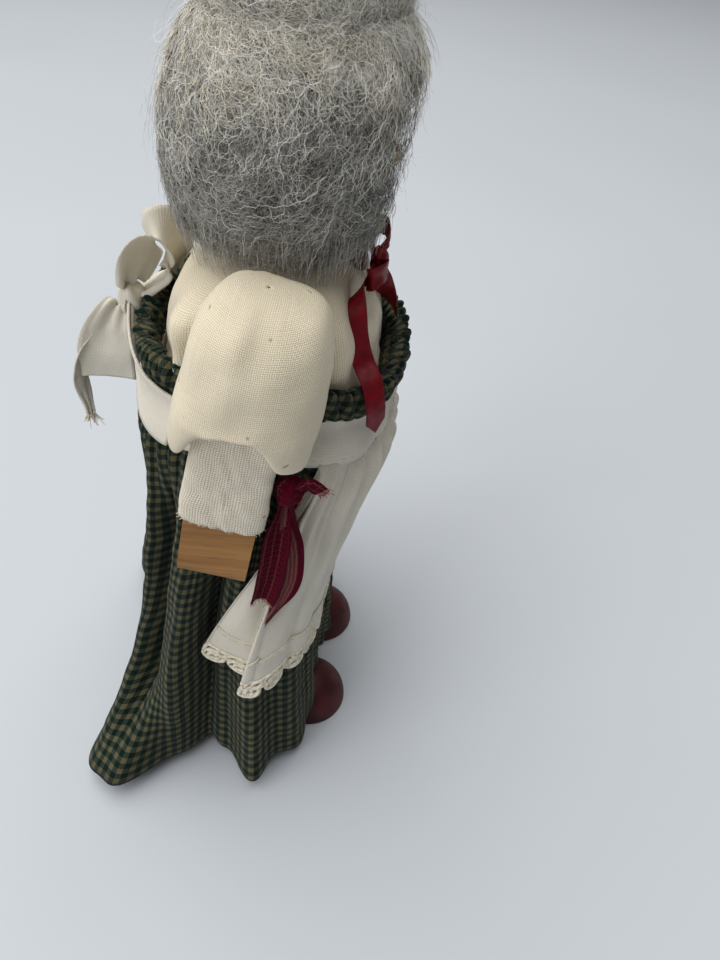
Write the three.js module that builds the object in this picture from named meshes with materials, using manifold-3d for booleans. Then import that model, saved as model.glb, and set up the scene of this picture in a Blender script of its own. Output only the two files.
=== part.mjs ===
// Wooden doll in cloth clothes, standing on its two shoes.
// Millimetres, +Z up. The doll faces -Y, its right hand is at -X, and the origin is on the floor
// under the middle of its box.
import * as THREE from 'three';
import { mergeVertices } from 'three/addons/utils/BufferGeometryUtils.js';
import Module from 'manifold-3d';

const wasm = await Module();
wasm.setup();

const { degToRad, radToDeg, lerp, smoothstep } = THREE.MathUtils;

// Clearances
const seatGap = 0.3;
const runGap = 0.3;
const clothGap = 0.4;
const armClear = 3.2;

// Shoes and legs
const stance = 39.5;
const shoeRadius = 14.5;
const shoeLength = 45;
const heelRound = 8;
const toeReach = 29;
const soleThickness = 3;
const legWidth = 18;
const legThickness = 14;
const legFront = 15;
const legEdge = 2.5;
const legTenon = 14;
const hipWall = 9;

// Torso, a sawn block rounded all over
const hipHeight = 72;
const hipHalfDepth = 20.5;
const hipRound = 6;
const waistHeight = 150;
const waistHalfWidth = 29.5;
const waistHalfDepth = 26.5;
const chestRise = 20;
const chestHalfWidth = 30;
const chestHalfDepth = 25.5;
const shoulderRise = 31;
const shoulderHalfWidth = 30.5;
const shoulderHalfDepth = 20;
const shoulderTopRise = 4.5;
const shoulderTopHalfWidth = 25;
const shoulderTopHalfDepth = 16;
const neckBaseRise = 1.5;
const neckBaseHalfWidth = 19;
const neckBaseHalfDepth = 13;
const blockSquareness = 2.5;

// Neck, head and hair
const neckForward = 5;
const neckRadius = 9.5;
const neckHeight = 7;
const neckTenonRadius = 6;
const neckTenonLength = 14;
const headRadius = 25;
const headFlatRadius = 14.7;
const woolDepth = 6.5;
const woolTopDepth = 8;
const woolFrontDepth = 5.5;
const woolForward = 0.5;
const woolLean = 0.12;
const woolFullness = 2.5;
const faceDrop = 4.8;
const faceInnerRadius = 15;
const faceOuterRadius = 20;
const faceStretch = 1.15;
const faceClear = 3;
const bunRadius = 23;
const bunHalfHeight = 12.5;
const bunSunk = 16;
const bunForward = 2;

// Arms, sawn across a board, and their shoulder screws
const armPivotForward = 2.5;
const armWidth = 18.8;
const armThickness = 9;
const armLength = 71.5;
const bossDrop = 4.5;
const elbowDrop = 18.5;
const handRound = 6.5;
const handCorner = 2;
const rightArmLean = 11;
const leftArmLean = 7;
const shoulderFlat = 28;
const shoulderSpotRadius = 12.5;
const washerThickness = 1;
const washerRadius = 7;
const screwRadius = 2;
const screwGrip = 15;
const screwHeadRadius = 4;
const screwHeadHeight = 2.4;

// Blouse: bodice, puffed sleeves and cuffs
const bodiceTuck = 10;
const bodiceBulk = 2.8;
const collarCloth = 1.2;
const collarHeight = 2.4;
const collarRise = 0.6;
const armholeRadius = 12.9;
const sleeveCap = 13;
const sleeveCapInset = 3.2;
const sleeveHalfWidth = 17.6;
const sleeveBulge = 32;
const sleeveDrop = 22.5;
const sleeveLobe = 6.5;
const cuffCloth = 1;
const cuffBelowElbow = 6;
const cuffEnd = 46.5;
const cuffEdge = 2.5;

// Skirt, gathered on an elastic below a ruffled heading
const ruffleHeight = 10;
const ruffleHalfWidth = 35.5;
const ruffleHalfDepth = 35.4;
const ruffleForward = 1.3;
const ruffleWave = 0.9;
const skirtCloth = 1.2;
const gatherBulk = 2.6;
const elasticHeight = 4;
const elasticThickness = 0.7;
const casingEdge = 0.4;
const skirtBulge = 3.2;
const waistRise = 7.5;
const hemHeight = 7;
const hemFrontLift = 13;
const hemHalfWidth = 56;
const hemFrontClear = 5;
const hemBack = 50;
const sideFlare = 1.3;
const skirtSquareness = 2.7;

// Main folds of the skirt: direction from the front towards the doll's right, half spread, both in
// degrees, and how far the fold stands out of the hem as a share of the hem's half width
const skirtFolds = [
  [0, 16, 0.036], [30, 10, -0.018], [56, 12, 0.07], [76, 8, 0.08], [95, 11, -0.15], [126, 13, 0.46],
  [158, 10, -0.05], [180, 12, 0.07], [199, 8, -0.06], [220, 12, 0.44], [250, 11, -0.12], [272, 12, 0.12],
  [292, 9, -0.05], [308, 12, 0.1], [334, 10, -0.018],
];

// Apron: gathered panel, lace, waistband, ties and the bow at the back
const bandHeight = 13;
const bandCloth = 1.3;
const bandEndTurn = 120;
const apronCloth = 0.9;
const apronRightTurn = 93.3;
const apronLeftTurn = 73.3;
const apronLength = 74;
const apronPleat = 1.8;
const apronSideFold = 3;
const apronSideTurn = 72;
const apronSideTurnSpread = 12;
const laceDrop = 8;
const laceScallop = 2;
const laceCloth = 0.7;
const tieWidth = 9;
const tieCloth = 1.2;
const tieSag = 1;
const apronKnotRise = 16;
const apronKnotStandOff = 5.5;
const apronKnot = new THREE.Vector3(5, 4, 5.5);
const apronTailWidth = 14;

// Neck ribbon and its bow
const ribbonWidth = 4.2;
const ribbonCloth = 0.6;
const ribbonTailWidth = 6.4;
const ribbonDip = 7;
const ribbonSlack = 3;
const ribbonEase = 2.4;
const ribbonDipRun = 6;
const neckKnot = new THREE.Vector3(4.2, 2.4, 3.4);

// Neck bow's tails: side, turn on the chest, turn at the end, and how far down the ruffle they reach
const neckTailCourses = { right: [1, 32, 44, 1], left: [-1, -18, -24, 0.05] };

// Homespun bow at the front edge of the right cuff
const wristKnot = new THREE.Vector3(4, 3.6, 4.5);
const wristStripWidth = 10;
const wristStripCloth = 0.9;

// Share of a ribbon's length over which it spreads from a knot
const pinchRun = 0.35;

// Facets
const bodySides = 28;
const skirtSides = 54;
const sleeveSides = 24;
const roundSides = 22;
const screwSides = 14;
const hairSides = 20;
const hairRows = 12;
const weld = 1e-4;
const fullTurn = 360;

// Worked-out places
const chestHeight = waistHeight + chestRise;
const shoulderHeight = waistHeight + shoulderRise;
const shoulderTop = shoulderHeight + shoulderTopRise;
const neckBase = shoulderTop + neckBaseRise;
const bodiceHem = waistHeight - bodiceTuck;
const apronKnotHeight = waistHeight + apronKnotRise;
const hipHalfWidth = (stance + legWidth) / 2 + hipWall;
const legCentreForward = legFront - legThickness / 2;
const shoeCentreForward = toeReach - shoeLength / 2;
const legBottom = soleThickness + seatGap;
const neckBottom = neckBase + seatGap;
const neckTop = neckBottom + neckHeight;
const headSeat = neckTop + runGap;
const headCentre = headSeat + Math.sqrt(headRadius ** 2 - headFlatRadius ** 2);
const bossInner = shoulderFlat + washerThickness + 2 * seatGap;
const bodiceSide = Math.max(chestHalfWidth, shoulderHalfWidth) + clothGap + bodiceBulk;
const gatherInnerWidth = waistHalfWidth + clothGap + bodiceBulk + clothGap;
const gatherInnerDepth = waistHalfDepth + clothGap + bodiceBulk + clothGap;
const gatherOuterWidth = gatherInnerWidth + gatherBulk;
const gatherOuterDepth = gatherInnerDepth + gatherBulk;
const bandSide = gatherOuterWidth + skirtBulge + clothGap + bandCloth;
const forearmOffset = bandSide + armClear + cuffCloth + clothGap - bossInner;
const cuffTop = elbowDrop + cuffBelowElbow;
const wristKnotDrop = sleeveDrop + sleeveLobe + wristKnot.z;
const collarOuter = neckRadius + clothGap + collarCloth;
const collarFoot = neckBase + clothGap + collarRise;
const ribbonHeight = collarFoot + collarCloth + seatGap + ribbonWidth / 2;
const wigHem = ribbonHeight + ribbonWidth / 2 + runGap;

// Closed solids from points and triangles, turned so that their faces point out
function solidGeometry(points, faces) {
  const volume = faces.reduce((sum, [a, b, c]) => {
    const normal = points[b].clone().cross(points[c]);
    return sum + points[a].dot(normal);
  }, 0);
  const outward = volume > 0 ? faces : faces.map(([a, b, c]) => [a, c, b]);
  const geometry = new THREE.BufferGeometry();
  const values = points.flatMap((point) => point.toArray());
  geometry.setAttribute('position', new THREE.Float32BufferAttribute(values, 3));
  geometry.setIndex(outward.flat());
  return geometry;
}

function quad(a, b, c, d) {
  return [[a, b, c], [a, c, d]];
}

// Side faces between rings of equal count, the first ring starting at point number start
function wallFaces(start, rows, count) {
  const faces = [];
  for (let row = 0; row + 1 < rows; row += 1) {
    const low = start + row * count;
    const high = low + count;
    for (let i = 0; i < count; i += 1) {
      const next = (i + 1) % count;
      faces.push(...quad(low + i, low + next, high + next, high + i));
    }
  }
  return faces;
}

// Solid through a stack of rings, closed by a fan at each end
function loft(rings) {
  const count = rings[0].length;
  const points = rings.flat();
  const faces = wallFaces(0, rings.length, count);
  const ends = [[0, true], [(rings.length - 1) * count, false]];
  for (const [start, isBottom] of ends) {
    const centre = new THREE.Vector3();
    for (let i = 0; i < count; i += 1) {
      centre.addScaledVector(points[start + i], 1 / count);
    }
    const middle = points.push(centre) - 1;
    for (let i = 0; i < count; i += 1) {
      const next = (i + 1) % count;
      faces.push(isBottom ? [middle, start + next, start + i] : [middle, start + i, start + next]);
    }
  }
  return solidGeometry(points, faces);
}

// Open-ended wall between a stack of outer rings and a stack of inner rings
function shell(outer, inner) {
  const count = outer[0].length;
  const innerStart = outer.length * count;
  const points = [...outer.flat(), ...inner.flat()];
  const innerFaces = wallFaces(innerStart, inner.length, count).map(([a, b, c]) => [a, c, b]);
  const faces = [...wallFaces(0, outer.length, count), ...innerFaces];
  const outerTop = (outer.length - 1) * count;
  const innerTop = innerStart + (inner.length - 1) * count;
  for (let i = 0; i < count; i += 1) {
    const next = (i + 1) % count;
    faces.push(...quad(i, innerStart + i, innerStart + next, next));
    faces.push(...quad(outerTop + i, outerTop + next, innerTop + next, innerTop + i));
  }
  return solidGeometry(points, faces);
}

// Sheet of cloth between two grids of points with the same rows and columns
function sheet(outer, inner) {
  const rows = outer.length;
  const columns = outer[0].length;
  const under = rows * columns;
  const points = [...outer.flat(), ...inner.flat()];
  const faces = [];
  const at = (row, column) => row * columns + column;
  const edge = (a, b) => faces.push(...quad(b, b + under, a + under, a));
  for (let row = 0; row + 1 < rows; row += 1) {
    for (let column = 0; column + 1 < columns; column += 1) {
      const [a, b] = [at(row, column), at(row, column + 1)];
      const [c, d] = [at(row + 1, column + 1), at(row + 1, column)];
      faces.push(...quad(a, b, c, d), ...quad(c + under, b + under, a + under, d + under));
    }
    edge(at(row, 0), at(row + 1, 0));
    edge(at(row + 1, columns - 1), at(row, columns - 1));
  }
  for (let column = 0; column + 1 < columns; column += 1) {
    edge(at(0, column + 1), at(0, column));
    edge(at(rows - 1, column), at(rows - 1, column + 1));
  }
  return solidGeometry(points, faces);
}

// Ribbon along a smooth path: its width turns from one direction to another, and it can be pinched
// to a share of its width where it leaves a knot
function ribbon(path, { width, cloth, from, to = from, pinch = 1, pinchEnd = 1, steps = 10 }) {
  const curve = new THREE.CatmullRomCurve3(path);
  const sides = [[], []];
  for (let step = 0; step <= steps; step += 1) {
    const share = step / steps;
    const middle = curve.getPoint(share);
    const along = curve.getTangent(share);
    const across = from.clone().lerp(to, share);
    across.addScaledVector(along, -across.dot(along)).normalize();
    const face = along.clone().cross(across);
    const gather = lerp(pinch, 1, smoothstep(share, 0, pinchRun));
    const gatherEnd = lerp(pinchEnd, 1, smoothstep(1 - share, 0, pinchRun));
    sides.forEach((grid, side) => {
      const offset = face.clone().multiplyScalar((side === 0 ? 0.5 : -0.5) * cloth);
      const centre = middle.clone().add(offset);
      const reach = across.clone().multiplyScalar((width * gather * gatherEnd) / 2);
      grid.push([centre.clone().sub(reach), centre.clone().add(reach)]);
    });
  }
  return sheet(sides[0], sides[1]);
}

// Ring of points round a rounded block section
function blockRing(z, halfWidth, halfDepth, forward, squareness = blockSquareness, count = bodySides) {
  const power = 2 / squareness;
  return Array.from({ length: count }, (_, i) => {
    const angle = (2 * Math.PI * i) / count;
    const c = Math.cos(angle);
    const s = Math.sin(angle);
    const x = halfWidth * Math.sign(c) * Math.abs(c) ** power;
    const y = halfDepth * Math.sign(s) * Math.abs(s) ** power;
    return new THREE.Vector3(x, y - forward, z);
  });
}

// Joining and cutting of closed solids
function toSolid(geometry) {
  const bare = geometry.clone();
  bare.deleteAttribute('normal');
  bare.deleteAttribute('uv');
  const merged = mergeVertices(bare, weld);
  const vertProperties = new Float32Array(merged.attributes.position.array);
  const triVerts = new Uint32Array(merged.index.array);
  return new wasm.Manifold(new wasm.Mesh({ numProp: 3, vertProperties, triVerts }));
}

function fromSolid(solid) {
  const mesh = solid.getMesh();
  const geometry = new THREE.BufferGeometry();
  geometry.setAttribute('position', new THREE.BufferAttribute(new Float32Array(mesh.vertProperties), 3));
  geometry.setIndex(new THREE.BufferAttribute(new Uint32Array(mesh.triVerts), 1));
  return geometry;
}

function cut(geometry, ...cutters) {
  return fromSolid(cutters.reduce((solid, cutter) => solid.subtract(toSolid(cutter)), toSolid(geometry)));
}

function overlapOf(a, b) {
  return fromSolid(toSolid(a).intersect(toSolid(b)));
}

// Mirror image in x for pieces of the doll's right side
function forSide(geometry, side) {
  if (side > 0) {
    return geometry;
  }
  const mirrored = geometry.clone().scale(-1, 1, 1);
  const values = Array.from(mirrored.index.array);
  for (let i = 0; i < values.length; i += 3) {
    [values[i + 1], values[i + 2]] = [values[i + 2], values[i + 1]];
  }
  mirrored.setIndex(values);
  return mirrored;
}

// Geometry with shared vertices only, so that its mirror image stays closed
function indexed(geometry) {
  return fromSolid(toSolid(geometry));
}

// Basic forms, placed by their lowest and highest corners, or by two ends on an axis
function box(low, high) {
  const size = high.map((value, axis) => value - low[axis]);
  const middle = high.map((value, axis) => (value + low[axis]) / 2);
  return new THREE.BoxGeometry(...size).translate(...middle);
}

function rodAlongX(radius, x0, x1, y, z) {
  const rod = new THREE.CylinderGeometry(radius, radius, x1 - x0, roundSides);
  return rod.rotateZ(Math.PI / 2).translate((x0 + x1) / 2, y, z);
}

function turned(profile, sides = roundSides) {
  const points = profile.map(([radius, height]) => new THREE.Vector2(radius, height));
  return new THREE.LatheGeometry(points, sides);
}

function uprightTurned(profile, sides) {
  return turned(profile, sides).rotateX(Math.PI / 2);
}

function ball(radii, centre, columns = 10, rows = 7) {
  return new THREE.SphereGeometry(1, columns, rows)
    .scale(...radii.toArray())
    .translate(...centre.toArray());
}

// Ball of wool: fuller than round seen from the side, and leaning forward towards its top
function woolBall(radii, centre) {
  const geometry = new THREE.SphereGeometry(1, hairSides, hairRows);
  const spots = geometry.attributes.position;
  for (let i = 0; i < spots.count; i += 1) {
    const spot = new THREE.Vector3().fromBufferAttribute(spots, i);
    const level = Math.hypot(spot.x, spot.y) ** woolFullness;
    const reach = (level + Math.abs(spot.z) ** woolFullness) ** (-1 / woolFullness);
    spots.setXYZ(i, ...spot.multiplyScalar(reach).multiply(radii).toArray());
  }
  const lean = new THREE.Matrix4().makeShear(0, 0, 0, 0, 0, -woolLean);
  return geometry.applyMatrix4(lean).translate(...centre.toArray());
}

function arcPoints(centre, radii, startAngle, endAngle, steps) {
  return Array.from({ length: steps + 1 }, (_, i) => {
    const angle = degToRad(lerp(startAngle, endAngle, i / steps));
    return [centre[0] + radii[0] * Math.cos(angle), centre[1] + radii[1] * Math.sin(angle)];
  });
}

function roundedRectangle(halfWidth, halfDepth, radius) {
  const shape = new THREE.Shape();
  const corners = [[1, 1, 0], [-1, 1, 90], [-1, -1, 180], [1, -1, 270]];
  for (const [signX, signY, start] of corners) {
    const centre = [signX * (halfWidth - radius), signY * (halfDepth - radius)];
    shape.absarc(...centre, radius, degToRad(start), degToRad(start + 90));
  }
  return shape;
}

function extruded(shape, depth, curveSegments = 4) {
  return new THREE.ExtrudeGeometry(shape, { depth, bevelEnabled: false, curveSegments });
}

// Shoe: half of a turned egg with a flat sole and a mortise for the leg
function shoeGeometry() {
  const straightEnd = shoeLength / 2 - heelRound;
  const toe = arcPoints([0, shoeRadius - shoeLength / 2], [shoeRadius, shoeRadius], -90, 0, 7);
  const heel = arcPoints([0, straightEnd], [shoeRadius, heelRound], 0, 90, 5);
  toe[0][0] = 0;
  heel.at(-1)[0] = 0;
  const egg = turned([...toe, ...heel], roundSides).translate(0, -shoeCentreForward, 0);
  const underside = box([-shoeRadius - 1, -shoeLength, -shoeRadius - 1], [shoeRadius + 1, shoeLength, 0]);
  const halfWidth = legWidth / 2 + seatGap;
  const mortise = box(
    [-halfWidth, -legFront - seatGap, soleThickness],
    [halfWidth, legThickness - legFront + seatGap, shoeRadius + 1],
  );
  return cut(egg, underside, mortise);
}

// Leg: flat board with eased edges, from the shoe's mortise up into the torso
function legGeometry() {
  const board = roundedRectangle(legWidth / 2, legThickness / 2, legEdge);
  const length = hipHeight + legTenon - seatGap - legBottom;
  return extruded(board, length, 3).translate(0, -legCentreForward, legBottom);
}

// Rows of the torso from the bottom up: height, half width, half depth and how far forward it sits
const torsoRows = [
  [hipHeight, hipHalfWidth - hipRound / 2, hipHalfDepth - hipRound / 2, 0],
  [hipHeight + hipRound, hipHalfWidth, hipHalfDepth, 0],
  [lerp(hipHeight, waistHeight, 0.5), hipHalfWidth, waistHalfDepth, 0],
  [bodiceHem, waistHalfWidth, waistHalfDepth, 0],
  [waistHeight, waistHalfWidth, waistHalfDepth, 0],
  [chestHeight, chestHalfWidth, chestHalfDepth, 0],
  [shoulderHeight, shoulderHalfWidth, shoulderHalfDepth, 0],
  [shoulderTop, shoulderTopHalfWidth, shoulderTopHalfDepth, neckForward / 2],
  [neckBase, neckBaseHalfWidth, neckBaseHalfDepth, neckForward],
];
const bodiceRows = torsoRows.slice(torsoRows.findIndex(([z]) => z === bodiceHem));

function torsoGeometry() {
  const block = loft(torsoRows.map((row) => blockRing(...row)));
  const cutters = [];
  for (const side of [-1, 1]) {
    const middle = (side * stance) / 2;
    const halfWidth = legWidth / 2 + seatGap;
    cutters.push(box(
      [middle - halfWidth, -legFront - seatGap, hipHeight - 1],
      [middle + halfWidth, legThickness - legFront + seatGap, hipHeight + legTenon],
    ));
    const spot = rodAlongX(shoulderSpotRadius, shoulderFlat, 2 * shoulderFlat, 0, 0);
    const pilot = rodAlongX(screwRadius + seatGap, shoulderFlat - screwGrip, shoulderFlat + 1, 0, 0);
    for (const bore of [spot, pilot]) {
      cutters.push(forSide(indexed(bore), side).translate(0, -armPivotForward, shoulderHeight));
    }
  }
  const socketFloor = neckBottom - neckTenonLength - seatGap;
  const socket = uprightTurned([
    [0, socketFloor], [neckTenonRadius + seatGap, socketFloor],
    [neckTenonRadius + seatGap, neckBase + 1], [0, neckBase + 1],
  ]);
  return cut(block, ...cutters, socket.translate(0, -neckForward, 0));
}

// Neck: turned collar with a tenon at each end, glued into the torso
function neckGeometry() {
  const low = neckBottom - neckTenonLength;
  const high = neckTop + neckTenonLength;
  return uprightTurned([
    [0, low], [neckTenonRadius, low], [neckTenonRadius, neckBottom], [neckRadius, neckBottom],
    [neckRadius, neckTop], [neckTenonRadius, neckTop], [neckTenonRadius, high], [0, high],
  ]).translate(0, -neckForward, 0);
}

// Head: wooden ball flattened where it seats, bored for the neck's upper tenon
function headGeometry() {
  const boreRadius = neckTenonRadius + runGap;
  const boreTop = neckTop + neckTenonLength + runGap;
  const seatAngle = radToDeg(Math.asin((headSeat - headCentre) / headRadius));
  const skin = arcPoints([0, headCentre], [headRadius, headRadius], seatAngle, 90, 10);
  skin.at(-1)[0] = 0;
  const bore = [[0, boreTop], [boreRadius, boreTop], [boreRadius, headSeat]];
  return uprightTurned([...bore, ...skin]).translate(0, -neckForward, 0);
}

// Wig: thick wool hood round the head, open over the face and the neck
const wigRadii = new THREE.Vector3(woolDepth, woolFrontDepth, woolTopDepth).addScalar(headRadius);
const wigCentre = new THREE.Vector3(0, -neckForward - woolForward, headCentre);

function wigGeometry() {
  const wool = woolBall(wigRadii, wigCentre);
  const facetLoss = Math.cos(Math.PI / hairSides) * Math.cos(Math.PI / (2 * hairRows));
  const headRoom = (headRadius + clothGap) / facetLoss;
  const headSpace = ball(
    new THREE.Vector3(headRoom, headRoom, headRoom),
    new THREE.Vector3(0, -neckForward, headCentre),
    hairSides,
    hairRows,
  );
  const reach = 2 * wigRadii.y;
  const below = box([-reach, -reach, 0], [reach, reach, wigHem]);
  const faceDepth = wigRadii.y + woolForward + faceClear;
  const face = new THREE.CylinderGeometry(faceInnerRadius, faceOuterRadius, faceDepth, roundSides)
    .scale(1, 1, faceStretch)
    .translate(0, -neckForward - faceDepth / 2, headCentre - faceDrop);
  return cut(wool, headSpace, below, face);
}

// Soft knot of wool on the crown, seated in the wig
function bunGeometry() {
  const height = headCentre + wigRadii.z + bunHalfHeight - bunSunk;
  const bun = ball(
    new THREE.Vector3(bunRadius, bunRadius, bunHalfHeight),
    new THREE.Vector3(0, wigCentre.y - bunForward, height),
    hairSides,
    hairRows,
  );
  const seat = woolBall(wigRadii.clone().addScalar(seatGap), wigCentre);
  return cut(bun, seat);
}

// Arm in its own place: turning axis through the origin along x, x outwards from the boss's inner
// face, -z down the arm. The grown one clears the wood by the given amount for what is worn over it.
function armGeometry(grow = 0) {
  const inner = -grow;
  const outer = armThickness + grow;
  const top = armWidth / 2 + grow;
  const bottom = -armLength - grow;
  const round = handRound + grow;
  const bend = elbowDrop - bossDrop;
  const profile = new THREE.Shape();
  profile.moveTo(inner, top);
  profile.lineTo(inner, -bossDrop);
  profile.lineTo(inner + forearmOffset, -bossDrop - bend);
  profile.lineTo(inner + forearmOffset, bottom);
  profile.lineTo(outer + forearmOffset - round, bottom);
  profile.absarc(outer + forearmOffset - round, bottom + round, round, -Math.PI / 2, 0);
  profile.lineTo(outer + forearmOffset, armThickness / 3 - bossDrop - bend);
  profile.lineTo(outer, armThickness / 3 - bossDrop);
  profile.lineTo(outer, top);
  const halfWidth = armWidth / 2 + grow;
  const slab = extruded(profile, 2 * halfWidth, 5).rotateX(Math.PI / 2).translate(0, halfWidth, 0);
  const outline = new THREE.Shape();
  const corner = handCorner + grow;
  outline.absarc(0, 0, halfWidth, 0, Math.PI);
  outline.absarc(corner - halfWidth, bottom + corner, corner, Math.PI, 1.5 * Math.PI);
  outline.absarc(halfWidth - corner, bottom + corner, corner, 1.5 * Math.PI, 2 * Math.PI);
  const reach = armThickness + forearmOffset + 2 * grow + 2;
  const toArm = new THREE.Matrix4().makeBasis(
    new THREE.Vector3(0, 1, 0),
    new THREE.Vector3(0, 0, 1),
    new THREE.Vector3(1, 0, 0),
  );
  const front = extruded(outline, reach, 6).applyMatrix4(toArm).translate(-grow - 1, 0, 0);
  return overlapOf(slab, front);
}

function drilledArm() {
  const bore = rodAlongX(screwRadius + runGap, -1, armThickness + 1, 0, 0);
  const counterbore = rodAlongX(screwHeadRadius + runGap, armThickness, armThickness + forearmOffset, 0, 0);
  return cut(armGeometry(), bore, counterbore);
}

// Shoulder screw and washer, in the arm's place
function screwGeometry() {
  const tip = seatGap - screwGrip - bossInner + shoulderFlat;
  const headStart = armThickness + runGap;
  const half = screwHeadHeight / 2;
  const dome = arcPoints([0, headStart + half], [screwHeadRadius, half], 0, 90, 4);
  dome.at(-1)[0] = 0;
  const profile = [
    [0, tip], [screwRadius * 0.3, tip], [screwRadius, tip + 2 * screwRadius], [screwRadius, headStart],
    [screwHeadRadius, headStart], ...dome,
  ];
  return turned(profile, screwSides).rotateZ(-Math.PI / 2);
}

function washerGeometry() {
  const outerFace = -seatGap;
  const innerFace = outerFace - washerThickness;
  const bore = screwRadius + seatGap;
  const profile = [
    [bore, innerFace], [washerRadius, innerFace], [washerRadius, outerFace], [bore, outerFace],
    [bore, innerFace],
  ];
  return turned(profile).rotateZ(-Math.PI / 2);
}

// Puffed sleeve round the arm: rows give the drop below the pivot, how far the inside has moved from
// the bodice to the waistband, its stand-off there, and shares of the bulge and of the half width
const sleeveInner = bodiceSide + clothGap - bossInner;
const sleeveLow = bandSide + clothGap - bossInner;
const sleeveHeadInner = shoulderHalfWidth + clothGap - bossInner;

function sleeveGeometry() {
  const rows = [
    [-sleeveCap, 0, sleeveCapInset, 0.48, 0.45],
    [-0.88 * sleeveCap, 0, 0.6 * sleeveCapInset, 0.62, 0.64],
    [-0.55 * sleeveCap, 0, 0, 0.77, 0.81],
    [0, 0, 0, 0.9, 0.92],
    [0.35 * sleeveDrop, 0, 0, 0.97, 0.98],
    [0.62 * sleeveDrop, 0.65, 0, 1, 1],
    [0.85 * sleeveDrop, 1, 0, 0.98, 0.97],
    [0.97 * sleeveDrop, 1, 0.25 * sleeveCapInset, 0.92, 0.87],
    [sleeveDrop, 1, 0.6 * sleeveCapInset, 0.85, 0.76],
  ];
  const rings = rows.map(([drop, lowShare, standOff, bulgeShare, widthShare]) => {
    const innerReach = lerp(sleeveInner, sleeveLow, lowShare) + standOff;
    const outerReach = bulgeShare * sleeveBulge;
    const halfWidth = widthShare * sleeveHalfWidth;
    const flat = blockRing(0, (outerReach - innerReach) / 2, halfWidth, 0, 2.3, sleeveSides);
    const sag = sleeveLobe * smoothstep(drop, 0.4 * sleeveDrop, sleeveDrop);
    return flat.map((point) => {
      const lobe = sag * (point.y / sleeveHalfWidth) ** 2;
      return new THREE.Vector3(point.x + (innerReach + outerReach) / 2, point.y, -drop - lobe);
    });
  });
  const puff = loft(rings.reverse());
  const headRoom = armThickness + screwHeadHeight + 2 * runGap;
  const screwRoom = rodAlongX(screwHeadRadius + runGap, armThickness - 1, headRoom, 0, 0);
  const cuffInside = clothGap + cuffCloth + seatGap;
  const cuffRoom = box(
    [forearmOffset - cuffInside, -cuffHalfWidth - seatGap, -2 * sleeveDrop],
    [forearmOffset + armThickness + cuffInside, cuffHalfWidth + seatGap, seatGap - cuffTop],
  );
  const head = rodAlongX(armholeRadius - clothGap, sleeveHeadInner, sleeveInner + 4, 0, 0);
  const cloth = fromSolid(toSolid(puff).add(toSolid(head)));
  return cut(cloth, armGeometry(clothGap), screwRoom, cuffRoom);
}

// Cuff: close sleeve of cloth round the forearm
const cuffHalfWidth = armWidth / 2 + clothGap + cuffCloth;
const forearmMiddle = forearmOffset + armThickness / 2;

function cuffGeometry() {
  const halfThickness = armThickness / 2 + clothGap;
  const section = roundedRectangle(halfThickness + cuffCloth, cuffHalfWidth, cuffEdge);
  section.holes.push(roundedRectangle(halfThickness, cuffHalfWidth - cuffCloth, clothGap));
  return extruded(section, cuffEnd - cuffTop, 3).translate(forearmMiddle, 0, -cuffEnd);
}

// Bodice: blouse front and back over the torso, with armholes and a low collar
function bodiceGeometry() {
  const body = bodiceRows.slice(0, -1);
  const outset = (amount) => ([z, a, b, forward]) => blockRing(z, a + amount, b + amount, forward);
  const [, topWidth, topDepth] = bodiceRows.at(-1);
  const shoulderRow = (amount) => blockRing(
    neckBase + amount,
    topWidth + amount,
    topDepth + amount,
    neckForward,
  );
  const collarRow = (z, radius) => blockRing(z, radius, radius, neckForward, 2);
  const innerCollar = neckRadius + clothGap;
  const inner = [
    ...body.map(outset(clothGap)), shoulderRow(clothGap),
    collarRow(collarFoot, innerCollar), collarRow(collarFoot + collarHeight + collarCloth, innerCollar),
  ];
  const outer = [
    ...body.map(outset(clothGap + bodiceBulk)), shoulderRow(clothGap + collarCloth),
    collarRow(collarFoot + collarCloth, collarOuter),
    collarRow(collarFoot + collarHeight + collarCloth, collarOuter),
  ];
  const reach = 2 * bodiceSide;
  const armhole = rodAlongX(armholeRadius, -reach, reach, -armPivotForward, shoulderHeight);
  const between = box([1 - shoulderFlat, -reach, 0], [shoulderFlat - 1, reach, 2 * shoulderHeight]);
  return cut(shell(outer, inner), cut(armhole, between));
}

// Skirt surface. turn is the direction in degrees from the front towards the doll's right, share runs
// from 0 at the gathers to 1 at the hem, and the point stands out of the cloth by outset.
const skirtLine = {
  halfWidth: (share) => {
    const bulge = skirtBulge * smoothstep(share, 0, 0.06);
    return gatherOuterWidth + bulge + (hemHalfWidth - gatherOuterWidth - skirtBulge) * share ** sideFlare;
  },
  front: (share) => {
    const bulge = gatherOuterDepth + 1.6 * skirtBulge * smoothstep(share, 0, 0.06);
    return lerp(bulge, legFront + hemFrontClear, smoothstep(share, 0.1, 0.7));
  },
  back: (share) => {
    const bulge = gatherOuterDepth + 2 * skirtBulge * smoothstep(share, 0, 0.12);
    return lerp(bulge, hemBack, share);
  },
};

function foldAt(turn) {
  return skirtFolds.reduce((sum, [middle, spread, depth]) => {
    const away = ((turn - middle + 1.5 * fullTurn) % fullTurn) - fullTurn / 2;
    return sum + depth * hemHalfWidth * Math.exp(-((away / spread) ** 2));
  }, 0);
}

function roundSection(turn, halfWidth, halfDepth, squareness) {
  const angle = degToRad(turn);
  const across = Math.abs(Math.sin(angle)) / halfWidth;
  const depth = Math.abs(Math.cos(angle)) / halfDepth;
  return (across ** squareness + depth ** squareness) ** (-1 / squareness);
}

function fromCentre(turn, reach, centreY, z) {
  const angle = degToRad(turn);
  return new THREE.Vector3(-reach * Math.sin(angle), centreY - reach * Math.cos(angle), z);
}

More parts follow.
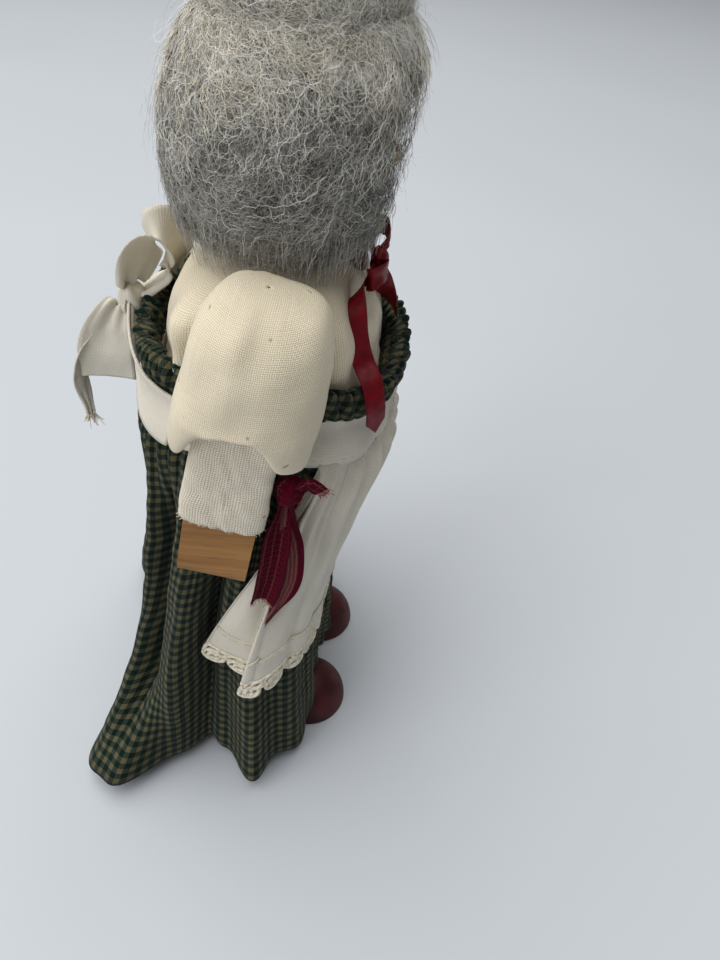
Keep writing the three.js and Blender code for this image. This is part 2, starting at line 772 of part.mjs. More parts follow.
// The waist sits higher at the sides and the back than in front
function waistAt(turn) {
  return waistHeight + waistRise * smoothstep(-Math.cos(degToRad(turn)), -1, 0);
}

function hemAt(turn) {
  return hemHeight + hemFrontLift * smoothstep(Math.cos(degToRad(turn)), 0.55, 0.9);
}

function skirtPoint(turn, share, outset) {
  const front = skirtLine.front(share);
  const back = skirtLine.back(share);
  const centreY = (back - front) / 2;
  const halfDepth = (back + front) / 2;
  const plain = roundSection(turn, skirtLine.halfWidth(share), halfDepth, skirtSquareness);
  const fold = foldAt(turn) * share ** 1.8;
  return fromCentre(turn, plain + fold + outset, centreY, lerp(waistAt(turn), hemAt(turn), share));
}

function rufflePoint(turn, share, outset) {
  const halfWidth = lerp(gatherOuterWidth, ruffleHalfWidth, share);
  const halfDepth = lerp(gatherOuterDepth, ruffleHalfDepth, share);
  const wave = ruffleWave * share * Math.cos(degToRad((turn * skirtSides) / 3));
  const plain = roundSection(turn, halfWidth, halfDepth, skirtSquareness);
  const centreY = -ruffleForward * share;
  return fromCentre(turn, plain + wave + outset, centreY, waistAt(turn) + ruffleHeight * share);
}

const skirtTurns = Array.from({ length: skirtSides }, (_, i) => (-fullTurn * i) / skirtSides);
const ruffleShares = [0.5, 1];

// Rows of the skirt as shares of its drop: the band's foot, the apron's rows and hem, and the lace's
// edge are among them, so that what lies on the skirt follows its facets
const skirtDrop = waistHeight - hemHeight;
const bandTop = -0.12 * bandHeight;
const bandFoot = bandHeight + bandTop;
const apronTop = bandFoot + seatGap;
const apronHem = apronTop + apronLength;
const laceHem = apronHem + seatGap + laceDrop;
const bandRows = [0, 0.45 * bandFoot, bandFoot];
const apronRows = [0.1, 0.28, 0.5, 0.75, 1].map((share) => lerp(apronTop, apronHem, share));
const lowerRows = [laceHem, skirtDrop];
const skirtShares = [...bandRows, ...apronRows, ...lowerRows].map((drop) => drop / skirtDrop).reverse();
const liningShares = [...apronRows.slice(0, -1), ...lowerRows].map((drop) => drop / skirtDrop).reverse();

function skirtGeometry() {
  const cloth = (share) => lerp(gatherBulk, skirtCloth, smoothstep(share, 0, 0.3));
  const outer = [
    ...skirtShares.map((share) => skirtTurns.map((turn) => skirtPoint(turn, share, 0))),
    ...ruffleShares.map((share) => skirtTurns.map((turn) => rufflePoint(turn, share, 0))),
  ];
  const casingRow = (rise, outset) => skirtTurns.map((turn) => {
    const halfWidth = gatherInnerWidth + outset;
    const halfDepth = gatherInnerDepth + outset;
    const reach = roundSection(turn, halfWidth, halfDepth, blockSquareness);
    return fromCentre(turn, reach, 0, waistAt(turn) + rise);
  });
  const channel = elasticHeight / 2 + seatGap;
  const channelDepth = elasticThickness + 2 * seatGap;
  const inner = [
    ...liningShares.map((share) => skirtTurns.map((turn) => skirtPoint(turn, share, -cloth(share)))),
    casingRow(-channel - casingEdge, seatGap), casingRow(-channel, channelDepth),
    casingRow(channel, channelDepth), casingRow(channel + casingEdge, seatGap),
    skirtTurns.map((turn) => rufflePoint(turn, 1, -skirtCloth)),
  ];
  return shell(outer, inner);
}

// Elastic in the skirt's casing
function elasticGeometry() {
  const ringAt = (rise, outset) => blockRing(rise, gatherInnerWidth + outset, gatherInnerDepth + outset, 0)
    .map((spot) => spot.setZ(spot.z + waistAt(radToDeg(Math.atan2(-spot.x, -spot.y)))));
  const ringsAt = (outset) => [-0.5, 0.5].map((side) => ringAt(side * elasticHeight, outset));
  return shell(ringsAt(elasticThickness), ringsAt(0));
}

// Directions of the skirt's grid between two turns, so that what lies on the skirt follows its facets
function gridTurn(turn) {
  const step = fullTurn / skirtSides;
  return Math.round(turn / step) * step;
}

function turnsBetween(left, right) {
  const step = fullTurn / skirtSides;
  const first = Math.round(-right / step);
  const last = Math.round(left / step);
  return Array.from({ length: last - first + 1 }, (_, i) => -(first + i) * step);
}

// Apron parts lie on the skirt, at drops below the gathers along it
function onSkirt(turn, drop, outset) {
  if (drop < 0) {
    return rufflePoint(turn, -drop / ruffleHeight, outset);
  }
  return skirtPoint(turn, drop / skirtDrop, outset);
}

function apronFold(turn, drop) {
  const share = (drop - apronTop) / apronLength;
  const pleat = 0.5 + 0.5 * Math.cos(degToRad((turn * skirtSides) / 2 + 90));
  const gathers = apronPleat * pleat * (1 - 0.5 * share);
  const away = (turn - apronSideTurn) / apronSideTurnSpread;
  const sideFold = apronSideFold * share ** 2 * Math.exp(-(away ** 2));
  return clothGap + gathers + sideFold;
}

function skirtSheet(turns, drops, outsetAt, cloth) {
  const grid = (extra) => drops.map((drop) => turns.map((turn) => {
    const level = typeof drop === 'function' ? drop(turn) : drop;
    return onSkirt(turn, level, outsetAt(turn, level) + extra);
  }));
  return sheet(grid(cloth), grid(0));
}

function apronPanelGeometry() {
  const drops = [apronTop, ...apronRows];
  return skirtSheet(turnsBetween(apronLeftTurn, apronRightTurn), drops, apronFold, apronCloth);
}

function apronLaceGeometry() {
  const laceTop = apronHem + seatGap;
  const scallop = (turn) => {
    const wave = Math.cos(degToRad((turn * skirtSides) / 2));
    return laceHem - (laceScallop * (1 - wave)) / 2;
  };
  const drops = [laceTop, laceTop + laceDrop / 2, scallop];
  const lie = (turn) => apronFold(turn, apronHem);
  return skirtSheet(turnsBetween(apronLeftTurn, apronRightTurn), drops, lie, laceCloth);
}

function waistbandGeometry() {
  const drops = [bandTop, ...bandRows];
  return skirtSheet(turnsBetween(bandEndTurn, bandEndTurn), drops, () => clothGap, bandCloth);
}

// Apron ties from the waistband's ends to a knot behind the ruffle, with one loop and two tails
const point = (x, y, z) => new THREE.Vector3(x, y, z);
const apronKnotReach = ruffleHalfDepth - ruffleForward + apronKnotStandOff;
const apronKnotCentre = point(0, apronKnotReach, apronKnotHeight);
const upright = point(0, 0, 1);
const inTails = (x, y, z) => point(x, y, z).multiplyScalar(apronTailWidth);

function apronTieGeometry(side) {
  const startTurn = gridTurn(bandEndTurn) + 0.6;
  const knotSide = Math.asin((apronKnot.x + 2 * seatGap) / apronKnotCentre.y);
  const endTurn = 180 - radToDeg(knotSide);
  const startDrop = (bandTop + bandFoot) / 2;
  const endDrop = waistHeight + waistRise - apronKnotHeight + tieSag;
  const steps = 12;
  const grid = (extra) => Array.from({ length: steps + 1 }, (_, step) => {
    const share = step / steps;
    const turn = side * lerp(startTurn, endTurn, share);
    const drop = lerp(startDrop, endDrop, share ** 1.4);
    const half = (tieWidth / 2) * lerp(1, 0.5, smoothstep(share, 0.5, 1));
    const standOff = lerp(clothGap + 0.3, apronKnotStandOff - tieCloth / 2, share) + extra;
    return [onSkirt(turn, drop + half, standOff), onSkirt(turn, drop - half, standOff)];
  });
  return sheet(grid(tieCloth), grid(0));
}

function apronLoopGeometry() {
  const from = apronKnotCentre;
  const path = [
    inTails(0.14, 0.04, apronKnot.z / apronTailWidth), inTails(0.5, 0.21, 0.93), inTails(0.93, 0.07, 1.29),
    inTails(1.21, -0.32, 1.18), inTails(1, -0.43, 0.79), inTails(0.37, -0.09, 0.26),
  ].map((step) => step.add(from));
  return ribbon(path, {
    width: apronTailWidth * 0.7,
    cloth: apronCloth,
    from: point(0.2, 1, 0),
    to: point(0.3, 1, -0.3),
    pinch: 0.45,
    pinchEnd: 0.45,
    steps: 16,
  });
}

function apronTailGeometry(path, width, from, to) {
  const placed = path.map((step) => step.clone().add(apronKnotCentre));
  return ribbon(placed, { width, cloth: apronCloth, from, to, pinch: 0.4, steps: 10 });
}

const tailStart = (apronKnot.z + seatGap) / apronTailWidth;
const longTailPath = [
  inTails(-0.18, 0.04, -tailStart), inTails(-0.43, 0.57, -0.79), inTails(-0.79, 0.93, -1.36),
  inTails(-0.93, 1.07, -2), inTails(-0.86, 1.04, -2.64),
];
const shortTailPath = [
  inTails(0.18, 0.04, -tailStart), inTails(0.29, 0.43, -0.86), inTails(0.36, 0.57, -1.43),
  inTails(0.32, 0.64, -1.93),
];

// Neck ribbon: a loop round the collar that dips on to the chest at its knot
const ribbonBack = collarOuter + seatGap - neckForward;
const chestFront = shoulderHalfDepth + clothGap + bodiceBulk;
const ribbonFront = chestFront + ribbonCloth + 1;

function neckRibbonGeometry() {
  const grid = (outset) => [-0.5, 0.5].map((side) => Array.from({ length: roundSides }, (_, i) => {
    const angle = (2 * Math.PI * i) / roundSides;
    const middleY = (ribbonBack - ribbonFront) / 2;
    const halfDepth = (ribbonBack + ribbonFront) / 2;
    const y = middleY + (halfDepth + outset) * Math.sin(angle);
    const x = (collarOuter + ribbonEase + outset) * Math.cos(angle);
    const dip = ribbonDip * smoothstep(-y, ribbonFront - ribbonDipRun, ribbonFront);
    return point(x, y, ribbonHeight - dip + side * ribbonWidth);
  }));
  return shell(grid(ribbonCloth), grid(0));
}

const neckKnotCentre = point(
  0,
  -ribbonFront - ribbonCloth - seatGap - neckKnot.y,
  ribbonHeight - ribbonDip - ribbonCloth,
);

const inRibbons = (x, y, z) => point(x, y, z).multiplyScalar(ribbonTailWidth);

function neckLoopGeometry(side) {
  const knotSide = neckKnot.x / ribbonTailWidth;
  const path = [
    inRibbons(side * (knotSide + 0.11), -0.09, 0.12), inRibbons(side * 1.41, -0.34, 0.34),
    inRibbons(side * 2.19, -0.16, 0.5), inRibbons(side * 2.42, 0.22, 0.34),
    inRibbons(side * 1.88, 0.41, 0.03), inRibbons(side * (knotSide + 0.19), 0.25, -0.22),
  ].map((step) => step.add(neckKnotCentre));
  return ribbon(path, {
    width: ribbonTailWidth * 0.8,
    cloth: ribbonCloth,
    from: upright,
    pinch: 0.5,
    pinchEnd: 0.5,
    steps: 14,
  });
}

function chestPoint(turn, z, outset) {
  const rise = (z - chestHeight) / (shoulderHeight - chestHeight);
  const cloth = clothGap + bodiceBulk + outset;
  const halfWidth = lerp(chestHalfWidth, shoulderHalfWidth, rise) + cloth;
  const halfDepth = lerp(chestHalfDepth, shoulderHalfDepth, rise) + cloth;
  return fromCentre(turn, roundSection(turn, halfWidth, halfDepth, blockSquareness), 0, z);
}

function neckTailGeometry(side, chestTurn, endTurn, endShare) {
  const knotFoot = point(-side * 0.6 * neckKnot.x, -seatGap, -neckKnot.z - ribbonCloth);
  const start = neckKnotCentre.clone().add(knotFoot);
  const chest = chestPoint(chestTurn, neckKnotCentre.z - 2 * neckKnot.z, ribbonSlack);
  const overRuffle = rufflePoint(endTurn, 1.1, ribbonSlack);
  const end = onSkirt(endTurn + side * 2, (endShare - 1) * ruffleHeight, ribbonSlack);
  return ribbon([start, chest, overRuffle, end], {
    width: ribbonTailWidth,
    cloth: ribbonCloth,
    from: point(1, 0, 0),
    to: point(0.75, -0.6 * side, 0),
    pinch: 0.5,
    steps: 12,
  });
}

// Homespun bow at the front edge of the right cuff, in the arm's place
const wristKnotCentre = point(forearmMiddle, -cuffHalfWidth - seatGap - wristKnot.y, -wristKnotDrop);

function wristStrip(path, width, from, to, pinchEnd = 1) {
  const placed = path.map((step) => step.clone().add(wristKnotCentre));
  return ribbon(placed, { width, cloth: wristStripCloth, from, to, pinch: 0.5, pinchEnd, steps: 12 });
}

const inStrips = (x, y, z) => point(x, y, z).multiplyScalar(wristStripWidth);
const stripStart = (wristKnot.z + seatGap) / wristStripWidth;
const wristStubPath = [
  inStrips(0.25, -(wristKnot.y + 2 * seatGap) / wristStripWidth, 0.08), inStrips(0.35, -0.75, 0),
  inStrips(0.4, -1.1, -0.3),
];
const wristTailPath = [
  inStrips(0.18, -0.2, -stripStart), inStrips(0.32, -0.3, -1.7), inStrips(0.5, -0.35, -3.1),
  inStrips(0.65, -0.3, -4.3), inStrips(0.8, -0.2, -5.2),
];
const wristLoopPath = [
  inStrips(-0.14, -0.2, -stripStart), inStrips(-0.08, -0.3, -1.5), inStrips(-0.06, -0.4, -2.7),
  inStrips(-0.22, -0.45, -3.15), inStrips(-0.4, -0.4, -2.7), inStrips(-0.4, -0.3, -1.5),
  inStrips(-0.3, -0.2, -stripStart),
];

// Materials
function finish(color, roughness, metalness = 0) {
  return new THREE.MeshStandardMaterial({ color, roughness, metalness });
}
const wood = finish(0xbd8a54, 0.6);
const shoePaint = finish(0x6b2426, 0.45);
const steel = finish(0x9a9a98, 0.4, 1);
const wool = finish(0xa9a7a3, 1);
const muslin = finish(0xe4dac0, 0.95);
const checkedCloth = finish(0x3f5546, 0.95);
const apronLinen = finish(0xe9e4d6, 0.95);
const laceCotton = finish(0xece5d2, 0.95);
const elasticBand = finish(0xdedbd2, 0.9);
const satin = finish(0x7a1427, 0.5);
const homespun = finish(0x8c2b3e, 0.95);

// Assembly
const doll = new THREE.Group();
const figure = new THREE.Group();
doll.add(figure);

function add(parent, name, geometry, material) {
  const mesh = new THREE.Mesh(geometry, material);
  mesh.name = name;
  parent.add(mesh);
  return mesh;
}

add(figure, 'torso', torsoGeometry(), wood);
add(figure, 'neck_post', neckGeometry(), wood);
add(figure, 'head', headGeometry(), wood);
add(figure, 'wig', wigGeometry(), wool);
add(figure, 'hair_bun', bunGeometry(), wool);

const sides = [['right', -1, rightArmLean], ['left', 1, leftArmLean]];
for (const [sideName, side, lean] of sides) {
  add(figure, `${sideName}_shoe`, shoeGeometry(), shoePaint).position.x = (side * stance) / 2;
  add(figure, `${sideName}_leg`, legGeometry(), wood).position.x = (side * stance) / 2;
  const shoulder = new THREE.Group();
  shoulder.name = `${sideName}_shoulder`;
  shoulder.position.set(side * bossInner, -armPivotForward, shoulderHeight);
  figure.add(shoulder);
  add(shoulder, `${sideName}_shoulder_screw`, forSide(indexed(screwGeometry()), side), steel);
  add(shoulder, `${sideName}_shoulder_washer`, forSide(indexed(washerGeometry()), side), steel);
  const arm = new THREE.Group();
  arm.rotation.x = degToRad(lean);
  shoulder.add(arm);
  add(arm, `${sideName}_arm`, forSide(drilledArm(), side), wood);
  add(arm, `${sideName}_sleeve`, forSide(sleeveGeometry(), side), muslin);
  add(arm, `${sideName}_cuff`, forSide(indexed(cuffGeometry()), side), muslin);
  if (side < 0) {
    const edgeOn = point(0, 1, 0);
    const bow = {
      knot: indexed(ball(wristKnot, wristKnotCentre)),
      stub: wristStrip(wristStubPath, wristStripWidth * 0.6, upright, upright),
      tail: wristStrip(wristTailPath, wristStripWidth, edgeOn, point(0.35, 1, 0)),
      loop: wristStrip(wristLoopPath, wristStripWidth * 0.7, edgeOn, edgeOn, 0.5),
    };
    for (const [piece, geometry] of Object.entries(bow)) {
      add(arm, `wrist_bow_${piece}`, forSide(geometry, side), homespun);
    }
  }
}

add(figure, 'bodice', bodiceGeometry(), muslin);
add(figure, 'skirt', skirtGeometry(), checkedCloth);
add(figure, 'waist_elastic', elasticGeometry(), elasticBand);
add(figure, 'apron_panel', apronPanelGeometry(), apronLinen);
add(figure, 'apron_lace', apronLaceGeometry(), laceCotton);
add(figure, 'apron_waistband', waistbandGeometry(), apronLinen);
add(figure, 'apron_tie_right', apronTieGeometry(1), apronLinen);
add(figure, 'apron_tie_left', apronTieGeometry(-1), apronLinen);
add(figure, 'apron_bow_knot', ball(apronKnot, apronKnotCentre), apronLinen);
add(figure, 'apron_bow_loop', apronLoopGeometry(), apronLinen);
add(figure, 'apron_bow_tail_long',
  apronTailGeometry(longTailPath, apronTailWidth, point(1, 0.2, 0), point(0.6, -0.8, 0)), apronLinen);
add(figure, 'apron_bow_tail_short',
  apronTailGeometry(shortTailPath, apronTailWidth * 0.7, point(1, -0.2, 0), point(1, 0, 0)), apronLinen);
add(figure, 'neck_ribbon', neckRibbonGeometry(), satin);
add(figure, 'neck_bow_knot', ball(neckKnot, neckKnotCentre), satin);
add(figure, 'neck_bow_loop_right', neckLoopGeometry(-1), satin);
add(figure, 'neck_bow_loop_left', neckLoopGeometry(1), satin);
for (const [sideName, course] of Object.entries(neckTailCourses)) {
  add(figure, `neck_bow_tail_${sideName}`, neckTailGeometry(...course), satin);
}

// Stand the doll on the floor with the origin under the middle of its box
doll.updateMatrixWorld(true);
const extent = new THREE.Box3().setFromObject(figure, true);
figure.position.set(-(extent.min.x + extent.max.x) / 2, -(extent.min.y + extent.max.y) / 2, -extent.min.z);
doll.updateMatrixWorld(true);

export default doll;
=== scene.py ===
import math

import bpy
import numpy as np
from mathutils import Matrix, Vector, noise


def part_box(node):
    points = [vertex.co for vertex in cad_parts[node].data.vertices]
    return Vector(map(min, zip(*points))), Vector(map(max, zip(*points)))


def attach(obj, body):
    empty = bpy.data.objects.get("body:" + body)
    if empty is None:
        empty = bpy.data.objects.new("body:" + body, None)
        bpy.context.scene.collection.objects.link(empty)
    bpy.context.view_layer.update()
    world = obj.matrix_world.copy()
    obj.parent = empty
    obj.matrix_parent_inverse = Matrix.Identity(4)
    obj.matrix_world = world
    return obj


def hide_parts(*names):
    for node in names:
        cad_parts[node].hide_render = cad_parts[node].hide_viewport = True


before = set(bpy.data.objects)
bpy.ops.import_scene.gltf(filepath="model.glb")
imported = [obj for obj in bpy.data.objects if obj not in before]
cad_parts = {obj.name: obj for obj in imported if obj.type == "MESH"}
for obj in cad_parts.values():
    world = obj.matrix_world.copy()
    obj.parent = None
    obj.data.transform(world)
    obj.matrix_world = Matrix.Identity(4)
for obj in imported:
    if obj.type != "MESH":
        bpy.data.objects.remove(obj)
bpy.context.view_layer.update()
SEED = 20
rng = np.random.default_rng(SEED)
noise.seed_set(SEED)

# Sizes in millimetres on the doll's own axis, the same as the solids
MM = 0.001
NECK_FORWARD = 5.0
WAIST, WAIST_TILT, HEM, HEM_FRONT_LIFT = 150.0, 7.5, 7.0, 16.0
CLOTH_GAP, BODICE_BULK = 0.4, 2.8
WAIST_HALF = (29.5, 26.5)
GATHER_INNER = tuple(half + 2 * CLOTH_GAP + BODICE_BULK for half in WAIST_HALF)
GATHER_OUTER = tuple(half + 2.6 for half in GATHER_INNER)
SKIRT_BULGE, SIDE_FLARE, SKIRT_SQUARE = 3.2, 1.3, 2.7
HEM_HALF_WIDTH, HEM_FRONT, HEM_BACK = 56.0, 18.6, 50.0
RUFFLE_HEIGHT, RUFFLE_HALF, RUFFLE_FORWARD = 10.0, (35.5, 35.4), 1.3
SKIRT_DROP = WAIST - HEM
# folds: direction, half spread in degrees, share of the hem's half width, growth towards the hem
SKIRT_FOLDS = (
    (0, 16, 0.036, 1.8), (30, 10, -0.018, 1.8), (56, 12, 0.07, 1.8), (77, 6, 0.14, 2.4),
    (94, 11, -0.15, 1.8), (116, 6, 0.16, 4.0), (127, 13, 0.55, 3.1), (159, 16, -0.4, 1.1),
    (181, 12, -0.18, 1.4), (199, 8, -0.06, 1.8), (218, 13, 0.52, 1.2), (250, 11, -0.12, 1.8),
    (272, 12, 0.12, 1.8), (292, 9, -0.05, 1.8), (308, 12, 0.1, 1.8), (334, 10, -0.018, 1.8),
)
BACK_FLARE = 1.5
BAND_TOP, BAND_FOOT = -1.56, 11.44
BAND_END, APRON_EDGE, APRON_SPREAD, APRON_LEFT = 120.0, 63.0, 33.0, 73.3
APRON_TOP = BAND_FOOT + 0.3
APRON_HEM = APRON_TOP + 74.0
KNOT_REACH = RUFFLE_HALF[1] - RUFFLE_FORWARD + 5.5
APRON_KNOT = np.array([0.0, KNOT_REACH, WAIST + 16])
APRON_KNOT_SIZE = np.array([5.0, 4.0, 5.5])
TAIL_WIDTH, TIE_WIDTH = 14.0, 9.0
SHOULDER = np.array([29.6, -2.5, 181.0])
LEANS = {"right": 11.0, "left": 7.0}
SIDES = {"right": -1, "left": 1}
ARM_WIDTH, ARM_THICKNESS, FOREARM_OFFSET = 18.8, 9.0, 15.6
CUFF_TOP, CUFF_END = 24.5, 46.5
CUFF_HALF, CUFF_SQUARE = (ARM_THICKNESS / 2 + 1.4, ARM_WIDTH / 2 + 1.4), 5.0
FOREARM_MIDDLE = FOREARM_OFFSET + ARM_THICKNESS / 2
SLEEVE_DROP, SLEEVE_LOBE = 22.5, 6.5
SLEEVE_BULGE, SLEEVE_HALF_WIDTH = 32.0, 17.6
SLEEVE_SEAM, SLEEVE_INNER, SLEEVE_LOW = -1.2, 3.5, 11.4
WRIST_KNOT_SIZE = np.array([4.0, 3.6, 4.5])
WRIST_KNOT = np.array([FOREARM_MIDDLE, -CUFF_HALF[1] - 3.9, -SLEEVE_DROP - SLEEVE_LOBE - 4.5])
STRIP_WIDTH = 10.0
RIBBON_WIDTH, RIBBON_TAIL = 4.2, 6.4
NECK_KNOT_SIZE = np.array([4.2, 2.4, 3.4])
NECK_KNOT = np.array([0.0, -28.1, 183.99])
HEAD_RADIUS, HEAD_CENTRE = 25.0, np.array([0.0, -NECK_FORWARD, 214.8])
WIG_RADII, WIG_CENTRE = np.array([31.5, 30.5, 33.0]), np.array([0.0, -5.5, 214.8])
WIG_LEAN, WIG_FULLNESS, WIG_HEM = 0.085, 2.28, 194.0
# the last two: level and span of the painted light on the wool, paler strands above it and darker ones
# below
FRINGE, FALL_FROM, PAINTED_LIGHT_LEVEL, PAINTED_LIGHT_SPAN = 20.0, 7.0, 229.0, 26.0
BUN_RADII, BUN_CENTRE = np.array([23.0, 23.0, 12.5]), np.array([0.0, -7.5, 244.3])
FACE_CENTRE, FACE_HALF, FACE_BACK = (0.0, 210.0), (17.5, 20.5), -15.0
FACE_MARGIN = 2.5
NOSE_AT, NOSE_HALF, NOSE_REACH = 210.8, (2.0, 2.2), 1.9
TOE, HEEL, HEEL_ROUND, SHOE_RADIUS, STANCE = -29.0, 16.0, 8.0, 14.5, 39.5

head_low, head_high = (np.array(corner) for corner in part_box("head"))
AXIS = (head_low + head_high) / 2
AXIS[1] += NECK_FORWARD * MM
AXIS[2] = 0.0


def place(points):
    return np.asarray(points, float) * MM + AXIS


def stance(right, up, back, at):
    """Place and bearing of a camera or lamp from its own three ways."""
    return Matrix([[right[i], up[i], back[i], at[i]] for i in range(3)] + [[0, 0, 0, 1]])


# Small helpers on numbers and arrays
def step(value, low, high):
    share = np.clip((np.asarray(value, float) - low) / (high - low), 0, 1)
    return share * share * (3 - 2 * share)


def blend(a, b, share):
    return a + (b - a) * share


def waves(x, y, count, seed, longest, shortest):
    """Smooth seeded ripples over two coordinates, about -1 to 1."""
    draw = np.random.default_rng(seed)
    total = np.zeros(np.broadcast(x, y).shape)
    for _ in range(count):
        turn = 2 * math.pi / draw.uniform(shortest, longest)
        way = draw.uniform(0, 2 * math.pi)
        total += np.sin(turn * (x * math.cos(way) + y * math.sin(way)) + draw.uniform(0, 2 * math.pi))
    return total / math.sqrt(count)


def smooth_path(points, count):
    """Points along a smooth curve through the given ones, spaced by chord length."""
    points = np.asarray(points, float)
    knots = np.concatenate([[0], np.cumsum(np.sqrt(np.linalg.norm(np.diff(points, axis=0), axis=1)))])
    slopes = np.gradient(points, knots, axis=0)
    at = np.linspace(0, knots[-1], count)
    left = np.clip(np.searchsorted(knots, at, side="right") - 1, 0, len(points) - 2)
    span = (knots[left + 1] - knots[left])[:, None]
    t = ((at - knots[left]) / span[:, 0])[:, None]
    first = (2 * t**3 - 3 * t**2 + 1) * points[left] + (t**3 - 2 * t**2 + t) * span * slopes[left]
    second = (3 * t**2 - 2 * t**3) * points[left + 1] + (t**3 - t**2) * span * slopes[left + 1]
    return first + second


def turns(columns):
    """Directions round the doll in degrees, from the front towards its left."""
    return -np.linspace(0, 360, columns, endpoint=False)[None, :]


def angles_round(columns):
    return np.linspace(0, 2 * math.pi, columns, endpoint=False)[None, :]


def spread(*parts):
    """Points from coordinates of differing shapes."""
    return np.stack(np.broadcast_arrays(*parts), -1)


def run_along(line):
    """Length along a line of points up to each of them."""
    return np.concatenate([[0], np.cumsum(np.linalg.norm(np.diff(line, axis=0), axis=1))])


def unit(vectors):
    return vectors / np.maximum(np.linalg.norm(vectors, axis=-1, keepdims=True), 1e-9)


def along(path):
    return unit(np.gradient(path, axis=-2))


# Meshes
def grid_faces(rows, columns, closed=False):
    r = np.arange(rows - 1)[:, None]
    c = np.arange(columns if closed else columns - 1)[None, :]
    n = (c + 1) % columns
    corners = [r * columns + c, r * columns + n, (r + 1) * columns + n, (r + 1) * columns + c]
    return np.stack(corners, -1).reshape(-1, 4)


def make_piece(name, points, faces, material, loop_uv=None, uv_name="cloth"):
    mesh = bpy.data.meshes.new(name)
    points = place(points).reshape(-1, 3)
    faces = np.asarray(faces, np.int32)
    mesh.vertices.add(len(points))
    mesh.vertices.foreach_set("co", points.astype(np.float32).ravel())
    mesh.loops.add(faces.size)
    mesh.loops.foreach_set("vertex_index", faces.ravel())
    mesh.polygons.add(len(faces))
    mesh.polygons.foreach_set("loop_start", np.arange(0, faces.size, faces.shape[1], dtype=np.int32))
    mesh.polygons.foreach_set("use_smooth", np.ones(len(faces), bool))
    if loop_uv is not None:
        layer = mesh.uv_layers.new(name=uv_name)
        layer.uv.foreach_set("vector", np.asarray(loop_uv, np.float32).ravel())
    mesh.update()
    mesh.validate()
    mesh.materials.append(material)
    piece = bpy.data.objects.new(name, mesh)
    bpy.context.scene.collection.objects.link(piece)
    return piece


def thicken(piece, thickness, offset=-1.0):
    solid = piece.modifiers.new("thickness", "SOLIDIFY")
    solid.thickness = thickness * MM
    solid.offset = offset
    return piece


def grid_piece(name, grid, uv, material, closed=False, thickness=0.0, offset=-1.0, flip=False):
    """A sheet from rows and columns of points. A closed one has one more column of uv than of points."""
    rows, columns = grid.shape[:2]
    faces = grid_faces(rows, columns, closed)
    uv_faces = grid_faces(*uv.shape[:2])
    if flip:
        faces, uv_faces = faces[:, ::-1], uv_faces[:, ::-1]
    piece = make_piece(name, grid, faces, material, uv.reshape(-1, 2)[uv_faces.ravel()])
    if thickness:
        thicken(piece, thickness, offset)
    return piece


def cloth_uv(grid, closed=False):
    """Flat places of a grid of cloth in millimetres: lengths along its middle row and column."""
    wide = np.concatenate([grid, grid[:, :1]], axis=1) if closed else grid
    across = np.linalg.norm(np.diff(wide, axis=1), axis=2).mean(axis=0)
    down = np.linalg.norm(np.diff(wide, axis=0), axis=2).mean(axis=1)
    u = np.concatenate([[0], np.cumsum(across)])
    v = np.concatenate([[0], np.cumsum(down)])
    return spread(u[None, :], -v[:, None])


def flat_size(uv):
    return float(uv[0, -1, 0]) * MM, float(-uv[-1, 0, 1]) * MM


def centred_uv(grid, middle):
    """Flat places of a closed grid, measured along each row from its middle column and down each column."""
    wide = np.concatenate([grid, grid[:, :1]], axis=1)
    across = np.linalg.norm(np.diff(wide, axis=1), axis=2)
    run = np.concatenate([np.zeros((len(grid), 1)), np.cumsum(across, axis=1)], axis=1)
    down = np.linalg.norm(np.diff(wide, axis=0), axis=2)
    v = -np.concatenate([np.zeros((1, wide.shape[1])), np.cumsum(down, axis=0)])
    return np.stack([run - run[:, middle:middle + 1], v], -1)


def tube_mesh(paths, radius, sides=5, closed=False):
    """Points and faces of round threads along equal-length paths."""
    paths = np.asarray(paths, float)
    count, steps = paths.shape[:2]
    if closed:
        ways = unit(np.roll(paths, -1, axis=1) - np.roll(paths, 1, axis=1))
    else:
        ways = along(paths)
    side = unit(np.cross(ways, np.array([0.31, 0.52, 0.79])))
    up = np.cross(ways, side)
    angles = 2 * math.pi * np.arange(sides) / sides
    radius = np.broadcast_to(np.asarray(radius, float).reshape(-1, 1, 1, 1), (count, 1, 1, 1))
    ring = np.cos(angles)[:, None] * side[:, :, None] + np.sin(angles)[:, None] * up[:, :, None]
    points = paths[:, :, None] + radius * ring
    rows = steps + 1 if closed else steps
    faces = grid_faces(rows, sides, True)
    if closed:
        faces = np.where(faces >= steps * sides, faces - steps * sides, faces)
    faces = (faces[None] + (np.arange(count) * steps * sides)[:, None, None]).reshape(-1, 4)
    return points.reshape(-1, 3), faces


def threads(name, paths, radius, material, sides=5, closed=False):
    points, faces = tube_mesh(paths, radius, sides, closed)
    return make_piece(name, points, faces, material)


def declare(piece, body, slot, node=None):
    """Body that carries a piece, its material's slot, which is not used, and the solid it stands for."""
    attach(piece, body)
    if node is not None:
        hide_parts(node)
    return piece


def rounded(angle, half_a, half_b, square):
    """Reach of a rounded block section at an angle from its first axis."""
    c = np.abs(np.cos(angle)) / half_a
    s = np.abs(np.sin(angle)) / half_b
    return (c**square + s**square) ** (-1 / square)


# Materials
def linear(code):
    """Linear colour of a hexadecimal screen colour."""
    values = [int(code[i:i + 2], 16) / 255 for i in (0, 2, 4)]
    return (*[v / 12.92 if v <= 0.04045 else ((v + 0.055) / 1.055) ** 2.4 for v in values], 1.0)


